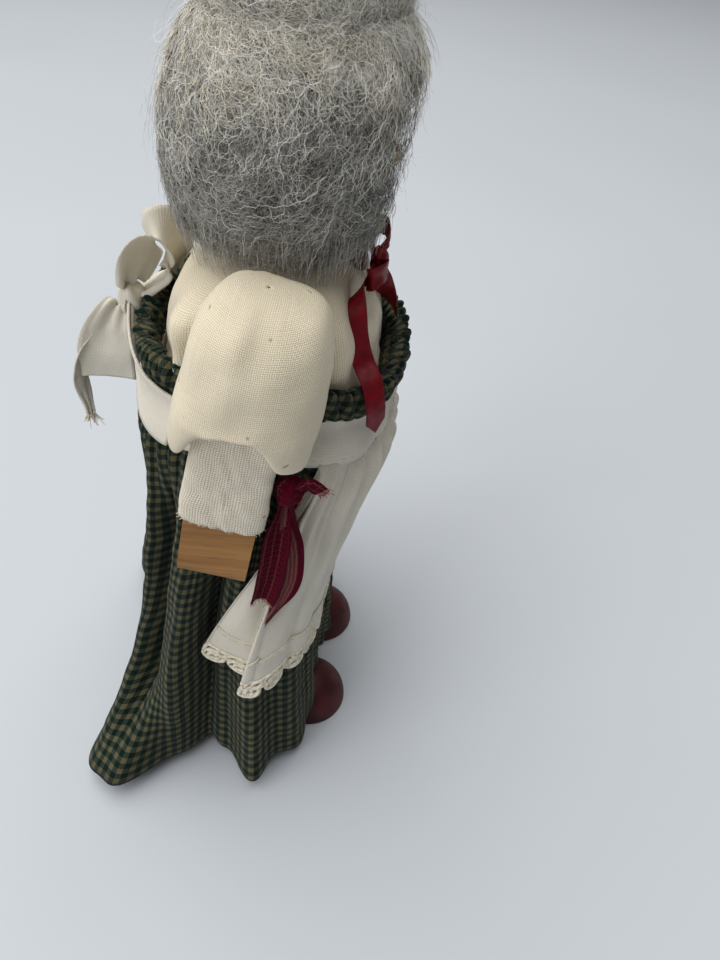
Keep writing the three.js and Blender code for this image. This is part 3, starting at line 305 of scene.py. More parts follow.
class Maker:
    """One node material, with short calls for its nodes."""

    def __init__(self, name, roughness=0.9, sheen=0.0, coat=0.0, metallic=0.0, specular=0.5):
        self.material = bpy.data.materials.new(name)
        self.material.use_nodes = True
        self.tree = self.material.node_tree
        self.shader = self.tree.nodes["Principled BSDF"]
        looks = {"Roughness": roughness, "Sheen Weight": sheen, "Coat Weight": coat, "Metallic": metallic,
                 "Specular IOR Level": specular}
        for key, value in looks.items():
            self.shader.inputs[key].default_value = value

    def node(self, kind, output=0, inputs=(), **settings):
        made = self.tree.nodes.new(kind)
        for key, value in settings.items():
            setattr(made, key, value)
        for key, value in dict(inputs).items():
            if isinstance(value, bpy.types.NodeSocket):
                self.tree.links.new(value, made.inputs[key])
            else:
                made.inputs[key].default_value = value
        return made.outputs[output]

    def math(self, operation, a, b=0.0, c=0.0):
        return self.node("ShaderNodeMath", 0, {0: a, 1: b, 2: c}, operation=operation)

    def times(self, a, b):
        return self.math("MULTIPLY", a, b)

    def plus(self, a, b):
        return self.math("ADD", a, b)

    def mix(self, share, a, b, kind="MIX"):
        return self.node("ShaderNodeMix", 2, {0: share, 6: a, 7: b}, data_type="RGBA", blend_type=kind)

    def dimmed(self, color, shade):
        tint = self.node("ShaderNodeCombineColor", 0, {0: shade, 1: shade, 2: shade})
        return self.mix(1.0, color, tint, "MULTIPLY")

    def soft(self, value, low, high, to_low=0.0, to_high=1.0):
        inputs = {0: value, 1: low, 2: high, 3: to_low, 4: to_high}
        return self.node("ShaderNodeMapRange", 0, inputs, interpolation_type="SMOOTHSTEP")

    def place(self):
        return self.node("ShaderNodeTexCoord", "Object")

    def flat(self):
        return self.node("ShaderNodeUVMap", 0, uv_map="cloth")

    def scaled(self, vector, factors):
        return self.node("ShaderNodeMapping", 0, {"Vector": vector, "Scale": factors})

    def noise(self, vector, scale, detail=2.0, rough=0.5, output=0):
        inputs = {"Vector": vector, "Scale": scale, "Detail": detail, "Roughness": rough}
        return self.node("ShaderNodeTexNoise", output, inputs)

    def parts(self, vector):
        made = self.tree.nodes.new("ShaderNodeSeparateXYZ")
        self.tree.links.new(vector, made.inputs[0])
        return made.outputs

    def finish(self, color, height=None, strength=0.5, distance=0.2, roughness=None):
        self.tree.links.new(color, self.shader.inputs["Base Color"])
        if roughness is not None:
            self.tree.links.new(roughness, self.shader.inputs["Roughness"])
        if height is not None:
            inputs = {"Height": height, "Strength": strength, "Distance": distance * MM}
            bump = self.node("ShaderNodeBump", 0, inputs)
            self.tree.links.new(bump, self.shader.inputs["Normal"])
        return self.material

    def weave(self, pitch, wander=0.25):
        """Plain weave in flat millimetres: height of the cloth, and where the warp is on top."""
        flat = self.flat()
        u, v = self.parts(flat)[:2]
        drift = self.noise(flat, 0.35, 2.0)
        drift = self.math("MULTIPLY_ADD", drift, wander * 2, -wander)
        u = self.plus(u, drift)
        v = self.math("SUBTRACT", v, drift)
        wave_u = self.math("SINE", self.times(u, math.pi / pitch))
        wave_v = self.math("SINE", self.times(v, math.pi / pitch))
        high_u = self.math("ABSOLUTE", wave_u)
        high_v = self.math("ABSOLUTE", wave_v)
        on_top = self.math("GREATER_THAN", self.times(wave_u, wave_v), 0.0)
        warp = self.times(high_u, self.math("MULTIPLY_ADD", high_v, 0.35, 0.65))
        weft = self.times(high_v, self.math("MULTIPLY_ADD", high_u, 0.35, 0.65))
        height = self.node("ShaderNodeMix", 0, {0: on_top, 2: weft, 3: warp}, data_type="FLOAT")
        return flat, u, v, height, on_top


def plain_cloth(name, pitch, thread, gap, fleck=None, strength=0.55, slub=0.16):
    m = Maker(name, roughness=0.92, sheen=0.15, specular=0.2)
    flat, _, _, height, on_top = m.weave(pitch)
    run_u = m.noise(m.scaled(flat, (1.4 / pitch, 0.06, 1)), 1.0, 1.0)
    run_v = m.noise(m.scaled(flat, (0.06, 1.4 / pitch, 1)), 1.0, 1.0)
    run = m.node("ShaderNodeMix", 0, {0: on_top, 2: run_v, 3: run_u}, data_type="FLOAT")
    # thread colour on the raised threads, the darker gap colour in the low places between them: painted
    # shade in the weave
    cover = m.soft(height, 0.12, 0.75)
    color = m.mix(cover, gap, thread)
    shade = m.math("MULTIPLY_ADD", run, 2 * slub, 1 - slub)
    color = m.dimmed(color, shade)
    stain = m.soft(m.noise(flat, 0.05, 3.0), 0.35, 0.75, 1.0, 0.9)
    color = m.dimmed(color, stain)
    if fleck:
        inputs = {"Vector": flat, "Scale": 0.14}
        spot = m.node("ShaderNodeTexVoronoi", "Distance", inputs)
        chance = m.parts(m.node("ShaderNodeTexVoronoi", "Color", inputs))[0]
        some = m.math("GREATER_THAN", chance, 0.55)
        mark = m.times(m.soft(spot, 0.05, 0.11, 1.0, 0.0), some)
        color = m.mix(m.times(mark, 0.7), color, fleck)
    raised = m.plus(height, m.times(run, 0.5))
    return m.finish(color, raised, strength=strength, distance=0.22)


def check_cloth(name, repeat=3.5, pitch=0.35):
    m = Maker(name, roughness=0.95, sheen=0.06, specular=0.12)
    flat, u, v, height, on_top = m.weave(pitch, wander=0.12)
    green, tan = linear("031d17"), linear("665f44")

    def stripes(value):
        turn = m.math("SINE", m.times(value, 2 * math.pi / repeat))
        return m.soft(turn, -0.2, 0.05)

    across, down = stripes(u), stripes(v)
    warp = m.mix(across, tan, green)
    weft = m.mix(down, tan, green)
    crossed = m.math("ABSOLUTE", m.math("SUBTRACT", across, down))
    color = m.mix(m.times(crossed, 0.65), m.mix(on_top, weft, warp), linear("22342d"))
    # darker where the weave is low: painted shade between the threads
    painted_weave_shade = m.soft(height, 0.05, 0.7, 0.6, 1.05)
    age = m.soft(m.noise(flat, 0.06, 3.0), 0.3, 0.75, 1.08, 0.82)
    shade = m.times(painted_weave_shade, age)
    return m.finish(m.dimmed(color, shade), height, strength=0.45, distance=0.16)


def satin_cloth(name):
    m = Maker(name, roughness=0.5, sheen=0.0, specular=0.22)
    flat = m.flat()
    u, v = m.parts(flat)[:2]
    slant = m.plus(u, m.times(v, 0.6))
    rib = m.math("SINE", m.times(slant, 2 * math.pi / 0.42))
    cloud = m.noise(flat, 0.4, 2.0)
    color = m.mix(m.soft(cloud, 0.3, 0.75), linear("6a0412"), linear("860719"))
    # darker wine towards the troughs of the slanted ribs: painted shade in the ribs
    color = m.mix(m.soft(rib, -1.0, 1.0, 0.22, 0.0), color, linear("3d040d"))
    return m.finish(color, rib, strength=0.18, distance=0.08, roughness=m.soft(cloud, 0.3, 0.7, 0.58, 0.42))


def homespun_cloth(name, ground, line, gap, border=0.0):
    """Loose wine-red weave with pale lines, and a plain wine border of the given width at both edges."""
    m = Maker(name, roughness=0.95, sheen=0.0, specular=0.08)
    _, u, v, height, on_top = m.weave(0.55)
    wine = linear("5a0a20")

    def lines(value, width):
        turn = m.math("ABSOLUTE", m.math("SINE", m.times(value, math.pi / gap)))
        return m.math("LESS_THAN", turn, width)

    warp = m.mix(lines(u, 0.3), linear(ground), linear(line))
    weft = m.mix(lines(v, 0.16), linear(ground), linear(line))
    color = m.mix(on_top, weft, warp)
    if border:
        edge = m.math("MINIMUM", u, m.math("SUBTRACT", STRIP_WIDTH, u))
        color = m.mix(m.soft(edge, border - 0.2, border + 0.2, 1.0, 0.0), color, wine)
    # darker where the weave is low: painted shade between the threads
    painted_weave_shade = m.soft(height, 0.05, 0.7, 0.5, 1.0)
    return m.finish(m.dimmed(color, painted_weave_shade), height, strength=0.5, distance=0.2)


def thread_material(name, light, dark, roughness=0.9):
    m = Maker(name, roughness=roughness, sheen=0.15, specular=0.2)
    spot = m.noise(m.place(), 900.0, 3.0)
    color = m.mix(m.soft(spot, 0.3, 0.7), linear(dark), linear(light))
    return m.finish(color, spot, strength=0.4, distance=0.12)


def wood_material(name, light, dark, grain=(420.0, 16.0, 420.0)):
    m = Maker(name, roughness=0.55, specular=0.35)
    at = m.place()
    bend = m.noise(at, 45.0, 2.0)
    rings = m.noise(m.scaled(at, grain), 1.0, 4.0, 0.62)
    fine = m.noise(m.scaled(at, tuple(6 * g for g in grain)), 1.0, 2.0)
    tone = m.plus(m.times(rings, 0.8), m.times(bend, 0.25))
    color = m.mix(m.soft(tone, 0.36, 0.7), linear(dark), linear(light))
    pores = m.soft(fine, 0.28, 0.42, 0.55, 0.0)
    color = m.mix(pores, color, linear("5d3a1c"))
    rough = m.soft(rings, 0.3, 0.7, 0.62, 0.48)
    return m.finish(color, m.plus(rings, fine), strength=0.16, distance=0.15, roughness=rough)


def paint_material(name):
    m = Maker(name, roughness=0.55, coat=0.04, specular=0.3)
    at = m.place()
    cloud = m.noise(at, 130.0, 4.0)
    color = m.mix(m.soft(cloud, 0.32, 0.72), linear("3d1012"), linear("561b1c"))
    scuff = m.noise(m.scaled(at, (900.0, 500.0, 900.0)), 1.0, 4.0, 0.7)
    color = m.mix(m.soft(scuff, 0.64, 0.74, 0.0, 0.5), color, linear("743a34"))
    rough = m.soft(cloud, 0.3, 0.7, 0.62, 0.5)
    return m.finish(color, scuff, strength=0.08, distance=0.1, roughness=rough)


def steel_material(name):
    m = Maker(name, roughness=0.35, metallic=1.0)
    scratch = m.noise(m.scaled(m.place(), (2500.0, 300.0, 300.0)), 1.0, 3.0)
    color = m.mix(scratch, linear("8d8d8a"), linear("b9b9b5"))
    rough = m.soft(scratch, 0.3, 0.7, 0.3, 0.5)
    return m.finish(color, scratch, strength=0.1, distance=0.05, roughness=rough)


def wool_material(name, light, dark, patch):
    m = Maker(name, roughness=0.8, sheen=0.3, specular=0.25)
    at = m.place()
    spot = m.noise(at, patch, 3.0, 0.6)
    color = m.mix(m.soft(spot, 0.3, 0.7), linear(dark), linear(light))
    return m.finish(color)


def wool_base_material(name):
    m = Maker(name, roughness=0.95, sheen=0.3, specular=0.1)
    at = m.place()
    curl = m.noise(at, 260.0, 2.0)
    stray = m.noise(at, 220.0, 2.0, output=1)
    stray = m.node("ShaderNodeVectorMath", 0, {0: stray, 3: 0.006}, operation="SCALE")
    swirl = m.node("ShaderNodeVectorMath", 0, {0: at, 1: stray}, operation="ADD")
    fibre = m.noise(m.scaled(swirl, (1500.0, 350.0, 900.0)), 1.0, 3.0, 0.65)
    patch = m.noise(at, 70.0, 3.0)
    color = m.mix(m.soft(fibre, 0.32, 0.68), linear("85827a"), linear("d0ccc2"))
    color = m.mix(m.soft(patch, 0.35, 0.7, 0.0, 0.5), color, linear("c9c3b2"))
    return m.finish(color, m.plus(fibre, m.times(curl, 0.6)), strength=0.8, distance=0.6)


def face_material(name):
    """Wooden ball with a small painted face of plain spots and strokes."""
    m = Maker(name, roughness=0.5, specular=0.35)
    at = m.place()
    grain = m.noise(m.scaled(at, (60.0, 60.0, 500.0)), 1.0, 4.0, 0.6)
    color = m.mix(m.soft(grain, 0.3, 0.7), linear("cf9f72"), linear("dfb68b"))
    x, y, z = m.parts(at)

    def spot(px, pz, half_x, half_z, edge, tint, most=1.0, ring=None):
        nonlocal color
        dx = m.math("DIVIDE", m.math("SUBTRACT", x, AXIS[0] + px * MM), half_x * MM)
        dz = m.math("DIVIDE", m.math("SUBTRACT", z, pz * MM), half_z * MM)
        away = m.math("SQRT", m.plus(m.times(dx, dx), m.times(dz, dz)))
        if ring is not None:
            away = m.math("ABSOLUTE", m.math("SUBTRACT", away, 1.0))
            half = m.math("LESS_THAN" if ring < 0 else "GREATER_THAN", dz, 0.25 * ring)
            share = m.times(m.soft(away, edge, 2 * edge, most, 0.0), half)
        else:
            share = m.soft(away, 1 - edge, 1 + edge, most, 0.0)
        front = m.math("LESS_THAN", y, AXIS[1] + FACE_BACK * MM)
        color = m.mix(m.times(share, front), color, linear(tint))

    # cheeks, eyes with a glint, brows and a smile: place, half size, soft edge, tint
    for side in (-1, 1):
        spot(side * 10.5, 207.5, 4.4, 3.9, 0.75, "cf6f62", 0.6)
        spot(side * 7.0, 214.6, 1.45, 1.75, 0.15, "241d1a")
        spot(side * 7.0 - 0.45, 215.2, 0.42, 0.45, 0.25, "f2ece2")
        spot(side * 7.2, 216.6, 3.1, 2.6, 0.1, "7b6a5d", 0.9, ring=1)
    spot(0, 207.0, 4.6, 3.4, 0.12, "9c3b3a", 0.95, ring=-1)
    return m.finish(color, grain, strength=0.1, distance=0.15)


# the second colour of each plain cloth is painted shade in the gaps of its weave
MUSLIN = plain_cloth("muslin", 0.46, linear("f8edd6"), linear("cdbc93"), linear("8a6032"), 0.45)
CUFF_MUSLIN = plain_cloth("muslin_cuff", 0.66, linear("fbf3e2"), linear("c4b28e"), linear("8a6032"), 0.6)
APRON = plain_cloth("apron_linen", 0.42, linear("ece6d8"), linear("cfc6b2"), None, 0.35, 0.07)
CHECK = check_cloth("check_cloth")
SATIN = satin_cloth("satin")
HOMESPUN = homespun_cloth("homespun", "55081d", "8a4a4c", 2.2, 0.9)
HOMESPUN_PALE = homespun_cloth("homespun_pale", "74363a", "b99a85", 1.1, 1.7)
LACE = thread_material("lace_cotton", "f1ead8", "d2c7ae")
STITCH = thread_material("stitch_cotton", "e8dfca", "c2b491")
MUSLIN_THREAD = thread_material("muslin_thread", "efe5cd", "cbb98f")
WINE_THREAD = thread_material("homespun_thread", "b98b7a", "7a1a31")
WOOD = wood_material("bare_wood", "b07d41", "91632f")
LEG_WOOD = wood_material("leg_wood", "c08c4e", "9c6a35", (300.0, 300.0, 14.0))
PAINT = paint_material("shoe_paint")
STEEL = steel_material("steel")
WOOL_BASE = wool_base_material("wool_base")
# tones of wool and their bias: dark strands gather in random patches; they also gather low and pale ones on
# top, which is painted light from above
WOOLS = {
    "dark": (wool_material("wool_dark", "8a877f", "5a5751", 140.0), 1.1),
    "grey": (wool_material("wool_grey", "c2bfb7", "97948c", 140.0), 0.3),
    "light": (wool_material("wool_light", "f2efe8", "d6d3cb", 140.0), -0.7),
    "cream": (wool_material("wool_cream", "fbf4e2", "e9e0c9", 140.0), -1.3),
}
FACE = face_material("painted_face")


# Camera at the photograph's angle
CAMERA_AT = (-178.0, -28.0, 270.4)
PITCH, ROLL = math.radians(43), math.radians(5)
LENS, SENSOR = 27.0, 36.0
forward = np.array([math.cos(PITCH), 0.0, -math.sin(PITCH)])
level = np.array([0.0, -1.0, 0.0])
rise = np.cross(level, forward)
right = level * math.cos(ROLL) + rise * math.sin(ROLL)
up = rise * math.cos(ROLL) - level * math.sin(ROLL)
lens = bpy.data.cameras.new("camera")
lens.lens, lens.sensor_width = LENS, SENSOR
lens.clip_start = 0.01
camera = bpy.data.objects.new("camera", lens)
camera.matrix_world = stance(right, up, -forward, place(CAMERA_AT))
bpy.context.scene.collection.objects.link(camera)
bpy.context.scene.camera = camera


# Skirt surface: turn in degrees from the front towards the doll's right, share from the gathers to the hem
def bumps(turn, rows):
    """Sum of smooth ridges and valleys round the skirt: direction, half spread, height."""
    total = 0.0
    for middle, spread, height in rows:
        away = (turn - middle + 540) % 360 - 180
        total = total + height * np.exp(-((away / spread) ** 2))
    return total


def fold_at(turn, share):
    return sum(bumps(turn, [(middle, spread, depth * HEM_HALF_WIDTH)]) * share**growth
               for middle, spread, depth, growth in SKIRT_FOLDS)


def section(turn, half_width, half_depth, square=SKIRT_SQUARE):
    return rounded(np.radians(turn), half_depth, half_width, square)


def from_centre(turn, reach, centre_y, z):
    angle = np.radians(turn)
    return spread(-reach * np.sin(angle), centre_y - reach * np.cos(angle), z)


def waist_at(turn):
    return WAIST + WAIST_TILT * step(-np.cos(np.radians(turn)), -1, 0)


def hem_at(turn):
    return HEM + HEM_FRONT_LIFT * step(np.cos(np.radians(turn)), 0.55, 0.9)


def skirt_point(turn, share, outset):
    bulge = SKIRT_BULGE * step(share, 0, 0.06)
    flare = HEM_HALF_WIDTH - GATHER_OUTER[0] - SKIRT_BULGE
    half_width = GATHER_OUTER[0] + bulge + flare * share**SIDE_FLARE
    front = blend(GATHER_OUTER[1] + 0.4 * bulge, HEM_FRONT, step(share, 0.04, 0.66))
    back = blend(GATHER_OUTER[1] + 2 * SKIRT_BULGE * step(share, 0, 0.12), HEM_BACK, share**BACK_FLARE)
    plain = section(turn, half_width, (back + front) / 2)
    reach = plain + fold_at(turn, share) + outset
    return from_centre(turn, reach, (back - front) / 2, blend(waist_at(turn), hem_at(turn), share))


def ruffle_point(turn, share, outset):
    half_width = blend(GATHER_OUTER[0], RUFFLE_HALF[0], share)
    half_depth = blend(GATHER_OUTER[1], RUFFLE_HALF[1], share)
    reach = section(turn, half_width, half_depth) + outset
    return from_centre(turn, reach, -RUFFLE_FORWARD * share, waist_at(turn) + RUFFLE_HEIGHT * share)


def on_skirt(turn, drop, outset):
    turn, drop, outset = np.broadcast_arrays(turn, drop, outset)
    above = ruffle_point(turn, np.clip(-drop / RUFFLE_HEIGHT, 0, 2), outset)
    below = skirt_point(turn, np.clip(drop / SKIRT_DROP, 0, 1), outset)
    return np.where((drop < 0)[..., None], above, below)


# Skirt with its ruffled heading
GATHERS, SOFT_FOLDS, RIBS = 66, 24, 62
GATHER_DEPTH, FOLD_DEPTH, ROLL_DEPTH, CREST = 2.2, 3.2, 1.7, 0.6
HEADING_STEPS, UPPER_STEPS, LOWER_STEPS, UPPER_SHARE = 22, 16, 62, 0.16
# narrow pleats beside the large fold at the right: direction, half spread, height
PLEAT_FOLDS = ((96, 4.0, -7.0), (107, 5.0, 5.0), (121, 4.8, -17.0), (146, 8.0, -7.0), (165, 10.0, -6.0))
# rolled heading from its inside over the top to the gathers: share of its height, stand-off
HEADING = [
    (0.3, -2.2), (0.7, -2.3), (0.95, -1.6), (1.05, -0.3), (1.0, 0.9), (0.78, 1.6), (0.5, 1.35), (0.25, 0.7),
    (0.02, 0.05),
]


def gather_wave(turn, count, seed, wander):
    """Uneven gathers round the skirt, from 0 in a valley to 1 on a crest."""
    angle = np.radians(turn)
    draw = np.random.default_rng(seed)
    drift = sum(draw.uniform(-1, 1) * np.sin(k * angle + draw.uniform(0, 6.3)) / k for k in range(2, 14))
    return 0.5 + 0.5 * np.cos(count * angle + wander * drift)


def pleat_wave(turn, count, seed, wander):
    """Gathers with round crests and sharp valleys, from 0 to 1."""
    return np.sqrt(gather_wave(turn, count=count, seed=seed, wander=wander))


def skirt_piece():
    turn = turns(480)
    heading = smooth_path(HEADING, HEADING_STEPS)
    drops = np.concatenate([
        -RUFFLE_HEIGHT * heading[:, 0],
        SKIRT_DROP * np.linspace(0, UPPER_SHARE, UPPER_STEPS, endpoint=False),
        SKIRT_DROP * np.linspace(UPPER_SHARE, 1, LOWER_STEPS),
    ])[:, None]
    stand = np.concatenate([heading[:, 1], np.zeros(UPPER_STEPS + LOWER_STEPS)])[:, None]
    share = np.clip(drops / SKIRT_DROP, 0, 1)
    lift = np.clip(-drops / RUFFLE_HEIGHT, 0, 1)
    row = np.arange(len(drops))[:, None]
    tight = gather_wave(turn, count=GATHERS, seed=3, wander=5.0)
    soft = gather_wave(turn + 4 * np.sin(6 * share), count=SOFT_FOLDS, seed=5, wander=2.5)
    rib = pleat_wave(turn + 0.55 * row, count=RIBS, seed=7, wander=4.0)
    gathers = -GATHER_DEPTH * np.exp(-share / 0.26) * (1 - tight) * (drops >= 0)
    crumple = 0.5 * waves(turn * 0.6, row * 1.0, count=6, seed=11, longest=16, shortest=5)
    roll = (ROLL_DEPTH * (rib - CREST) + crumple) * step(lift, 0.05, 0.4)
    folds = -(FOLD_DEPTH * step(share, 0.04, 0.35) * (1 - 0.35 * share)) * (1 - soft)
    puckers = 0.3 * waves(turn * 0.9, drops, count=10, seed=17, longest=30, shortest=9)
    puckers = puckers * step(share, 0.1, 0.3)
    pleats = bumps(turn, PLEAT_FOLDS) * step(share, 0.12, 0.45) * (1 - 0.85 * step(share, 0.7, 1.0))
    # under the apron band the gathers are pressed flat
    pressed = 1 - 0.6 * step(drops, BAND_TOP - 2, BAND_TOP) * step(-drops, -BAND_FOOT, -BAND_FOOT + 3)
    grid = on_skirt(turn, drops, stand + roll + gathers * pressed + (folds + pleats) + puckers)
    top_wave = 0.6 * waves(turn * 0.6, drops * 0, count=4, seed=19, longest=30, shortest=8)
    grid[..., 2] += (rib - CREST + top_wave) * step(lift, 0.6, 1.0)
    hem_wave = waves(turn * 0.9, drops * 0, count=6, seed=23, longest=60, shortest=18)
    grid[..., 2] += 0.8 * step(share, 0.8, 1) * hem_wave
    # the weave is true to size near the hem, where most of the cloth is seen
    uv = cloth_uv(grid, closed=True)
    uv[..., 0] = cloth_uv(grid[-14:], closed=True)[0, :, 0]
    piece = grid_piece("skirt_cloth", grid, uv, CHECK, closed=True, thickness=0.55)
    declare(piece, "figure", "check_cloth", "skirt")
    return piece


skirt = skirt_piece()


# Apron: panel, lace, waistband. course runs from 0 at the panel's right edge to 1 at its left one
PLEATS, FINE_GATHERS, FOLD_LANE, FOLD_WIDTH = 32, 76, 78.0, 4.5
PLEAT_DEPTH, FINE_DEPTH, SIDE_FOLD, VALLEY = 4.2, 1.0, 6.0, 3.0
HEM_TURN, HEM_STITCH, BAND_STITCH, STITCH_LIFT = 8.2, 7.6, 3.2, 0.95


def on_apron(course, drop, lift=0.0):
    """Points on the panel. Pleats run down from the band, and a side fold lies over the edge behind it."""
    course, drop = np.broadcast_arrays(np.asarray(course, float), np.asarray(drop, float))
    share = np.clip((drop - APRON_TOP) / (APRON_HEM - APRON_TOP), 0, 1.12)
    lane = blend(APRON_EDGE + APRON_SPREAD, -APRON_LEFT, course)
    away = lane - FOLD_LANE
    edge = APRON_EDGE + APRON_SPREAD * share
    fold = np.minimum(APRON_EDGE + (FOLD_LANE - APRON_EDGE) * share**0.55, edge - share)
    front = blend(-APRON_LEFT, fold, (lane + APRON_LEFT) / (FOLD_LANE + APRON_LEFT))
    behind = blend(fold, edge, np.clip(away / (APRON_EDGE + APRON_SPREAD - FOLD_LANE), 0, 1))
    turn = np.where(away < 0, front, behind)
    turn = turn - 3.0 * share * away * np.exp(-((away / FOLD_WIDTH) ** 2))
    over = 1 / (1 + np.exp(np.clip(away / 1.2, -30, 30)))
    side_fold = SIDE_FOLD * share**0.6 * over * np.exp(-np.maximum(-away, 0) / 14)
    # the hem dips at the side fold and rises away from it
    dip = 4.5 * np.exp(-(((away + 3) / 5) ** 2)) - 1.5 * step(away, 6, 18) - 4.0 * step(-away, 6, 45)
    level = drop + share * dip
    below = 1 - np.exp(-share / 0.03)
    pleats = PLEAT_DEPTH * below * np.exp(-share / 0.45) + 0.9 * share
    pleats = pleats * pleat_wave(lane, count=PLEATS, seed=37, wander=2.0)
    fine = pleat_wave(lane + 1.5 * np.sin(5 * share), count=FINE_GATHERS, seed=31, wander=4.0)
    fine = FINE_DEPTH * below * np.exp(-share / 0.2) * fine
    valley = -VALLEY * np.exp(-(((away + 10) / 2.4) ** 2)) * below * step(-share, -0.55, -0.25)
    stand = np.maximum(pleats + fine + side_fold + valley, 0)
    return on_skirt(turn, level, CLOTH_GAP + 0.25 + stand + lift)


def panel_piece():
    course = np.linspace(0, 1, 340)[None, :]
    drops = np.linspace(APRON_TOP - 1.2, APRON_HEM, 84)[:, None]
    ripple = 0.12 * waves(course * 170, drops, count=10, seed=41, longest=26, shortest=8)
    grid = on_apron(course, drops, ripple)
    uv = cloth_uv(grid)
    piece = grid_piece("apron_panel_cloth", grid, uv, APRON, thickness=0.35, offset=1.0)
    hem_drops = np.linspace(APRON_HEM - HEM_TURN, APRON_HEM - 0.2, 14)[:, None]
    hem = on_apron(course, hem_drops, 0.5)
    hem_piece = grid_piece("apron_hem_turn", hem, cloth_uv(hem), APRON, thickness=0.4, offset=1.0)
    declare(piece, "figure", "apron_linen", "apron_panel")
    declare(hem_piece, "figure", "apron_linen")


def stitch_row(name, line, length=1.5, gap=2.4):
    """Short stitches along a line, which gives points for shares of its run and a height over the cloth."""
    share = np.linspace(0, 1, 500)
    run = run_along(line(share, 0.0))
    starts = np.arange(0.6, run[-1] - length, gap)
    at = starts[:, None] + np.linspace(0, length, 5)[None, :]
    lift = 0.16 * np.sin(math.pi * np.linspace(0, 1, 5))[None, :]
    piece = threads(name, line(np.interp(at, run, share), lift), 0.13, STITCH)
    declare(piece, "figure", "apron_linen")


def on_band(turn, drop, lift=0.0):
    middle, half = (BAND_TOP + BAND_FOOT) / 2, (BAND_FOOT - BAND_TOP) / 2
    crown = 0.5 * np.clip(1 - ((drop - middle) / half) ** 2, 0, 1)
    ripple = 0.25 * waves(turn * 0.9, drop, count=8, seed=43, longest=24, shortest=8)
    return on_skirt(turn, drop, CLOTH_GAP + 0.35 + crown + ripple + lift)


def band_piece():
    turn = np.linspace(BAND_END, -BAND_END, 260)[None, :]
    drops = np.linspace(BAND_TOP, BAND_FOOT + 0.2, 22)[:, None]
    grid = on_band(turn, drops)
    uv = cloth_uv(grid)
    piece = grid_piece("apron_band_cloth", grid, uv, APRON, thickness=0.9, offset=1.0)
    declare(piece, "figure", "apron_linen", "apron_waistband")


SCALLOP = 8.8


def lace_piece():
    """Cutwork edging of thick cords: pairs of oval eyelets, and below each pair a scallop with one more."""
    course = np.linspace(0, 1, 900)
    run = run_along(on_apron(course, APRON_HEM))
    length = run[-1]
    sway = 0.5 * waves(course * 170, course * 0, count=5, seed=47, longest=40, shortest=12)

    def on_lace(s, d):
        at = np.interp(s, run, course)
        return on_apron(at, APRON_HEM + d, 0.3 + 0.06 * d * np.interp(s, run, sway))

    def loops(pitch, first, half_s, half_d, d, steps=20, jitter=0.1):
        middles = np.arange(first, length - half_s * 0.6, pitch)
        draw = np.random.default_rng(int(100 * pitch + d * 10))
        turn_at = np.linspace(0, 2 * math.pi, steps, endpoint=False)[None, :]
        wob = 1 + draw.uniform(-jitter, jitter, (len(middles), 2))
        s = middles[:, None] + half_s * wob[:, :1] * np.cos(turn_at)
        return on_lace(np.clip(s, 0, length), d + half_d * wob[:, 1:] * np.sin(turn_at))

    rails = []
    for d, wave in ((0.35, 0.0), (3.2, 0.15)):
        s = np.linspace(0, length, 420)
        rails.append(on_lace(s, d + wave * np.cos(2 * math.pi * s / SCALLOP)))
    # paths, radius of the cord, whether each path is a ring
    jobs = [
        (loops(SCALLOP / 2, SCALLOP / 4, 1.9, 1.2, 1.8), 0.66, True),
        (loops(SCALLOP, SCALLOP / 2, 1.7, 1.15, 4.6), 0.72, True),
        (loops(SCALLOP, SCALLOP / 2, 3.3, 2.0, 4.5, 32), 0.78, True),
        (np.array(rails), 0.6, False),
    ]
    points, faces, start = [], [], 0
    for paths, radius, closed in jobs:
        some, quads = tube_mesh(paths, radius, 7, closed)
        points.append(some)
        faces.append(quads + start)
        start += len(some)
    piece = make_piece("apron_lace_thread", np.concatenate(points), np.concatenate(faces), LACE)
    declare(piece, "figure", "lace", "apron_lace")


def hem_line(share, lift):
    return on_apron(share, APRON_HEM - HEM_STITCH, STITCH_LIFT + lift)


def band_line(share, lift):
    turn = blend(BAND_END - 1, 1 - BAND_END, share)
    return on_band(turn, BAND_FOOT - BAND_STITCH + 0 * share, STITCH_LIFT + lift)


panel_piece()
band_piece()
lace_piece()
stitch_row("apron_hem_stitches", hem_line)
stitch_row("band_stitches", band_line, 1.3, 2.2)


# Strips of cloth along a path, gathered where they leave a knot
def strip(name, path, width, material, across, across_end=None, pinch=1.0, pinch_end=1.0, thickness=0.4,
          steps=48, columns=13, crease=1.0, curl=0.0, seed=1, point=0.0, run=0.35):
    path = smooth_path(path, steps)
    share = np.linspace(0, 1, steps)[:, None]
    ways = along(path)
    last = across if across_end is None else across_end
    side = blend(np.array(across, float), np.array(last, float), share)
    side = unit(side - ways * (side * ways).sum(1, keepdims=True))
    face = np.cross(ways, side)
    tight = blend(pinch, 1.0, step(share, 0, run)) * blend(pinch_end, 1.0, step(1 - share, 0, run))
    j = np.linspace(-1, 1, columns)[None, :]
    draw = np.random.default_rng(seed)
    shift = draw.uniform(0, 6.3)
    fold = crease * (1 - tight) * np.cos(2.5 * math.pi * j + shift)
    sway = np.sin(3.1 * j + shift + 3 * share) * np.sin(math.pi * share)
    fold = fold + 0.35 * crease * tight * sway + curl * (j**2 - 0.4)
    fold += 0.12 * waves(j * width / 2, share * 30, count=6, seed=seed + 50, longest=14, shortest=4)
    out = j * tight * width / 2
    grid = path[:, None] + side[:, None] * out[..., None] + face[:, None] * fold[..., None]
    if point:
        grid += ways[:, None] * (point * step(share, 0.8, 1) * (0.5 - np.abs(j)))[..., None]
    uv = cloth_uv(grid)
    uv[..., 0] = (j + 1) * width / 2
    piece = grid_piece(name, grid, uv, material, thickness=thickness, offset=0.0)
    length = float(-uv[-1, 0, 1])
    return piece, (width * MM, length * MM), grid


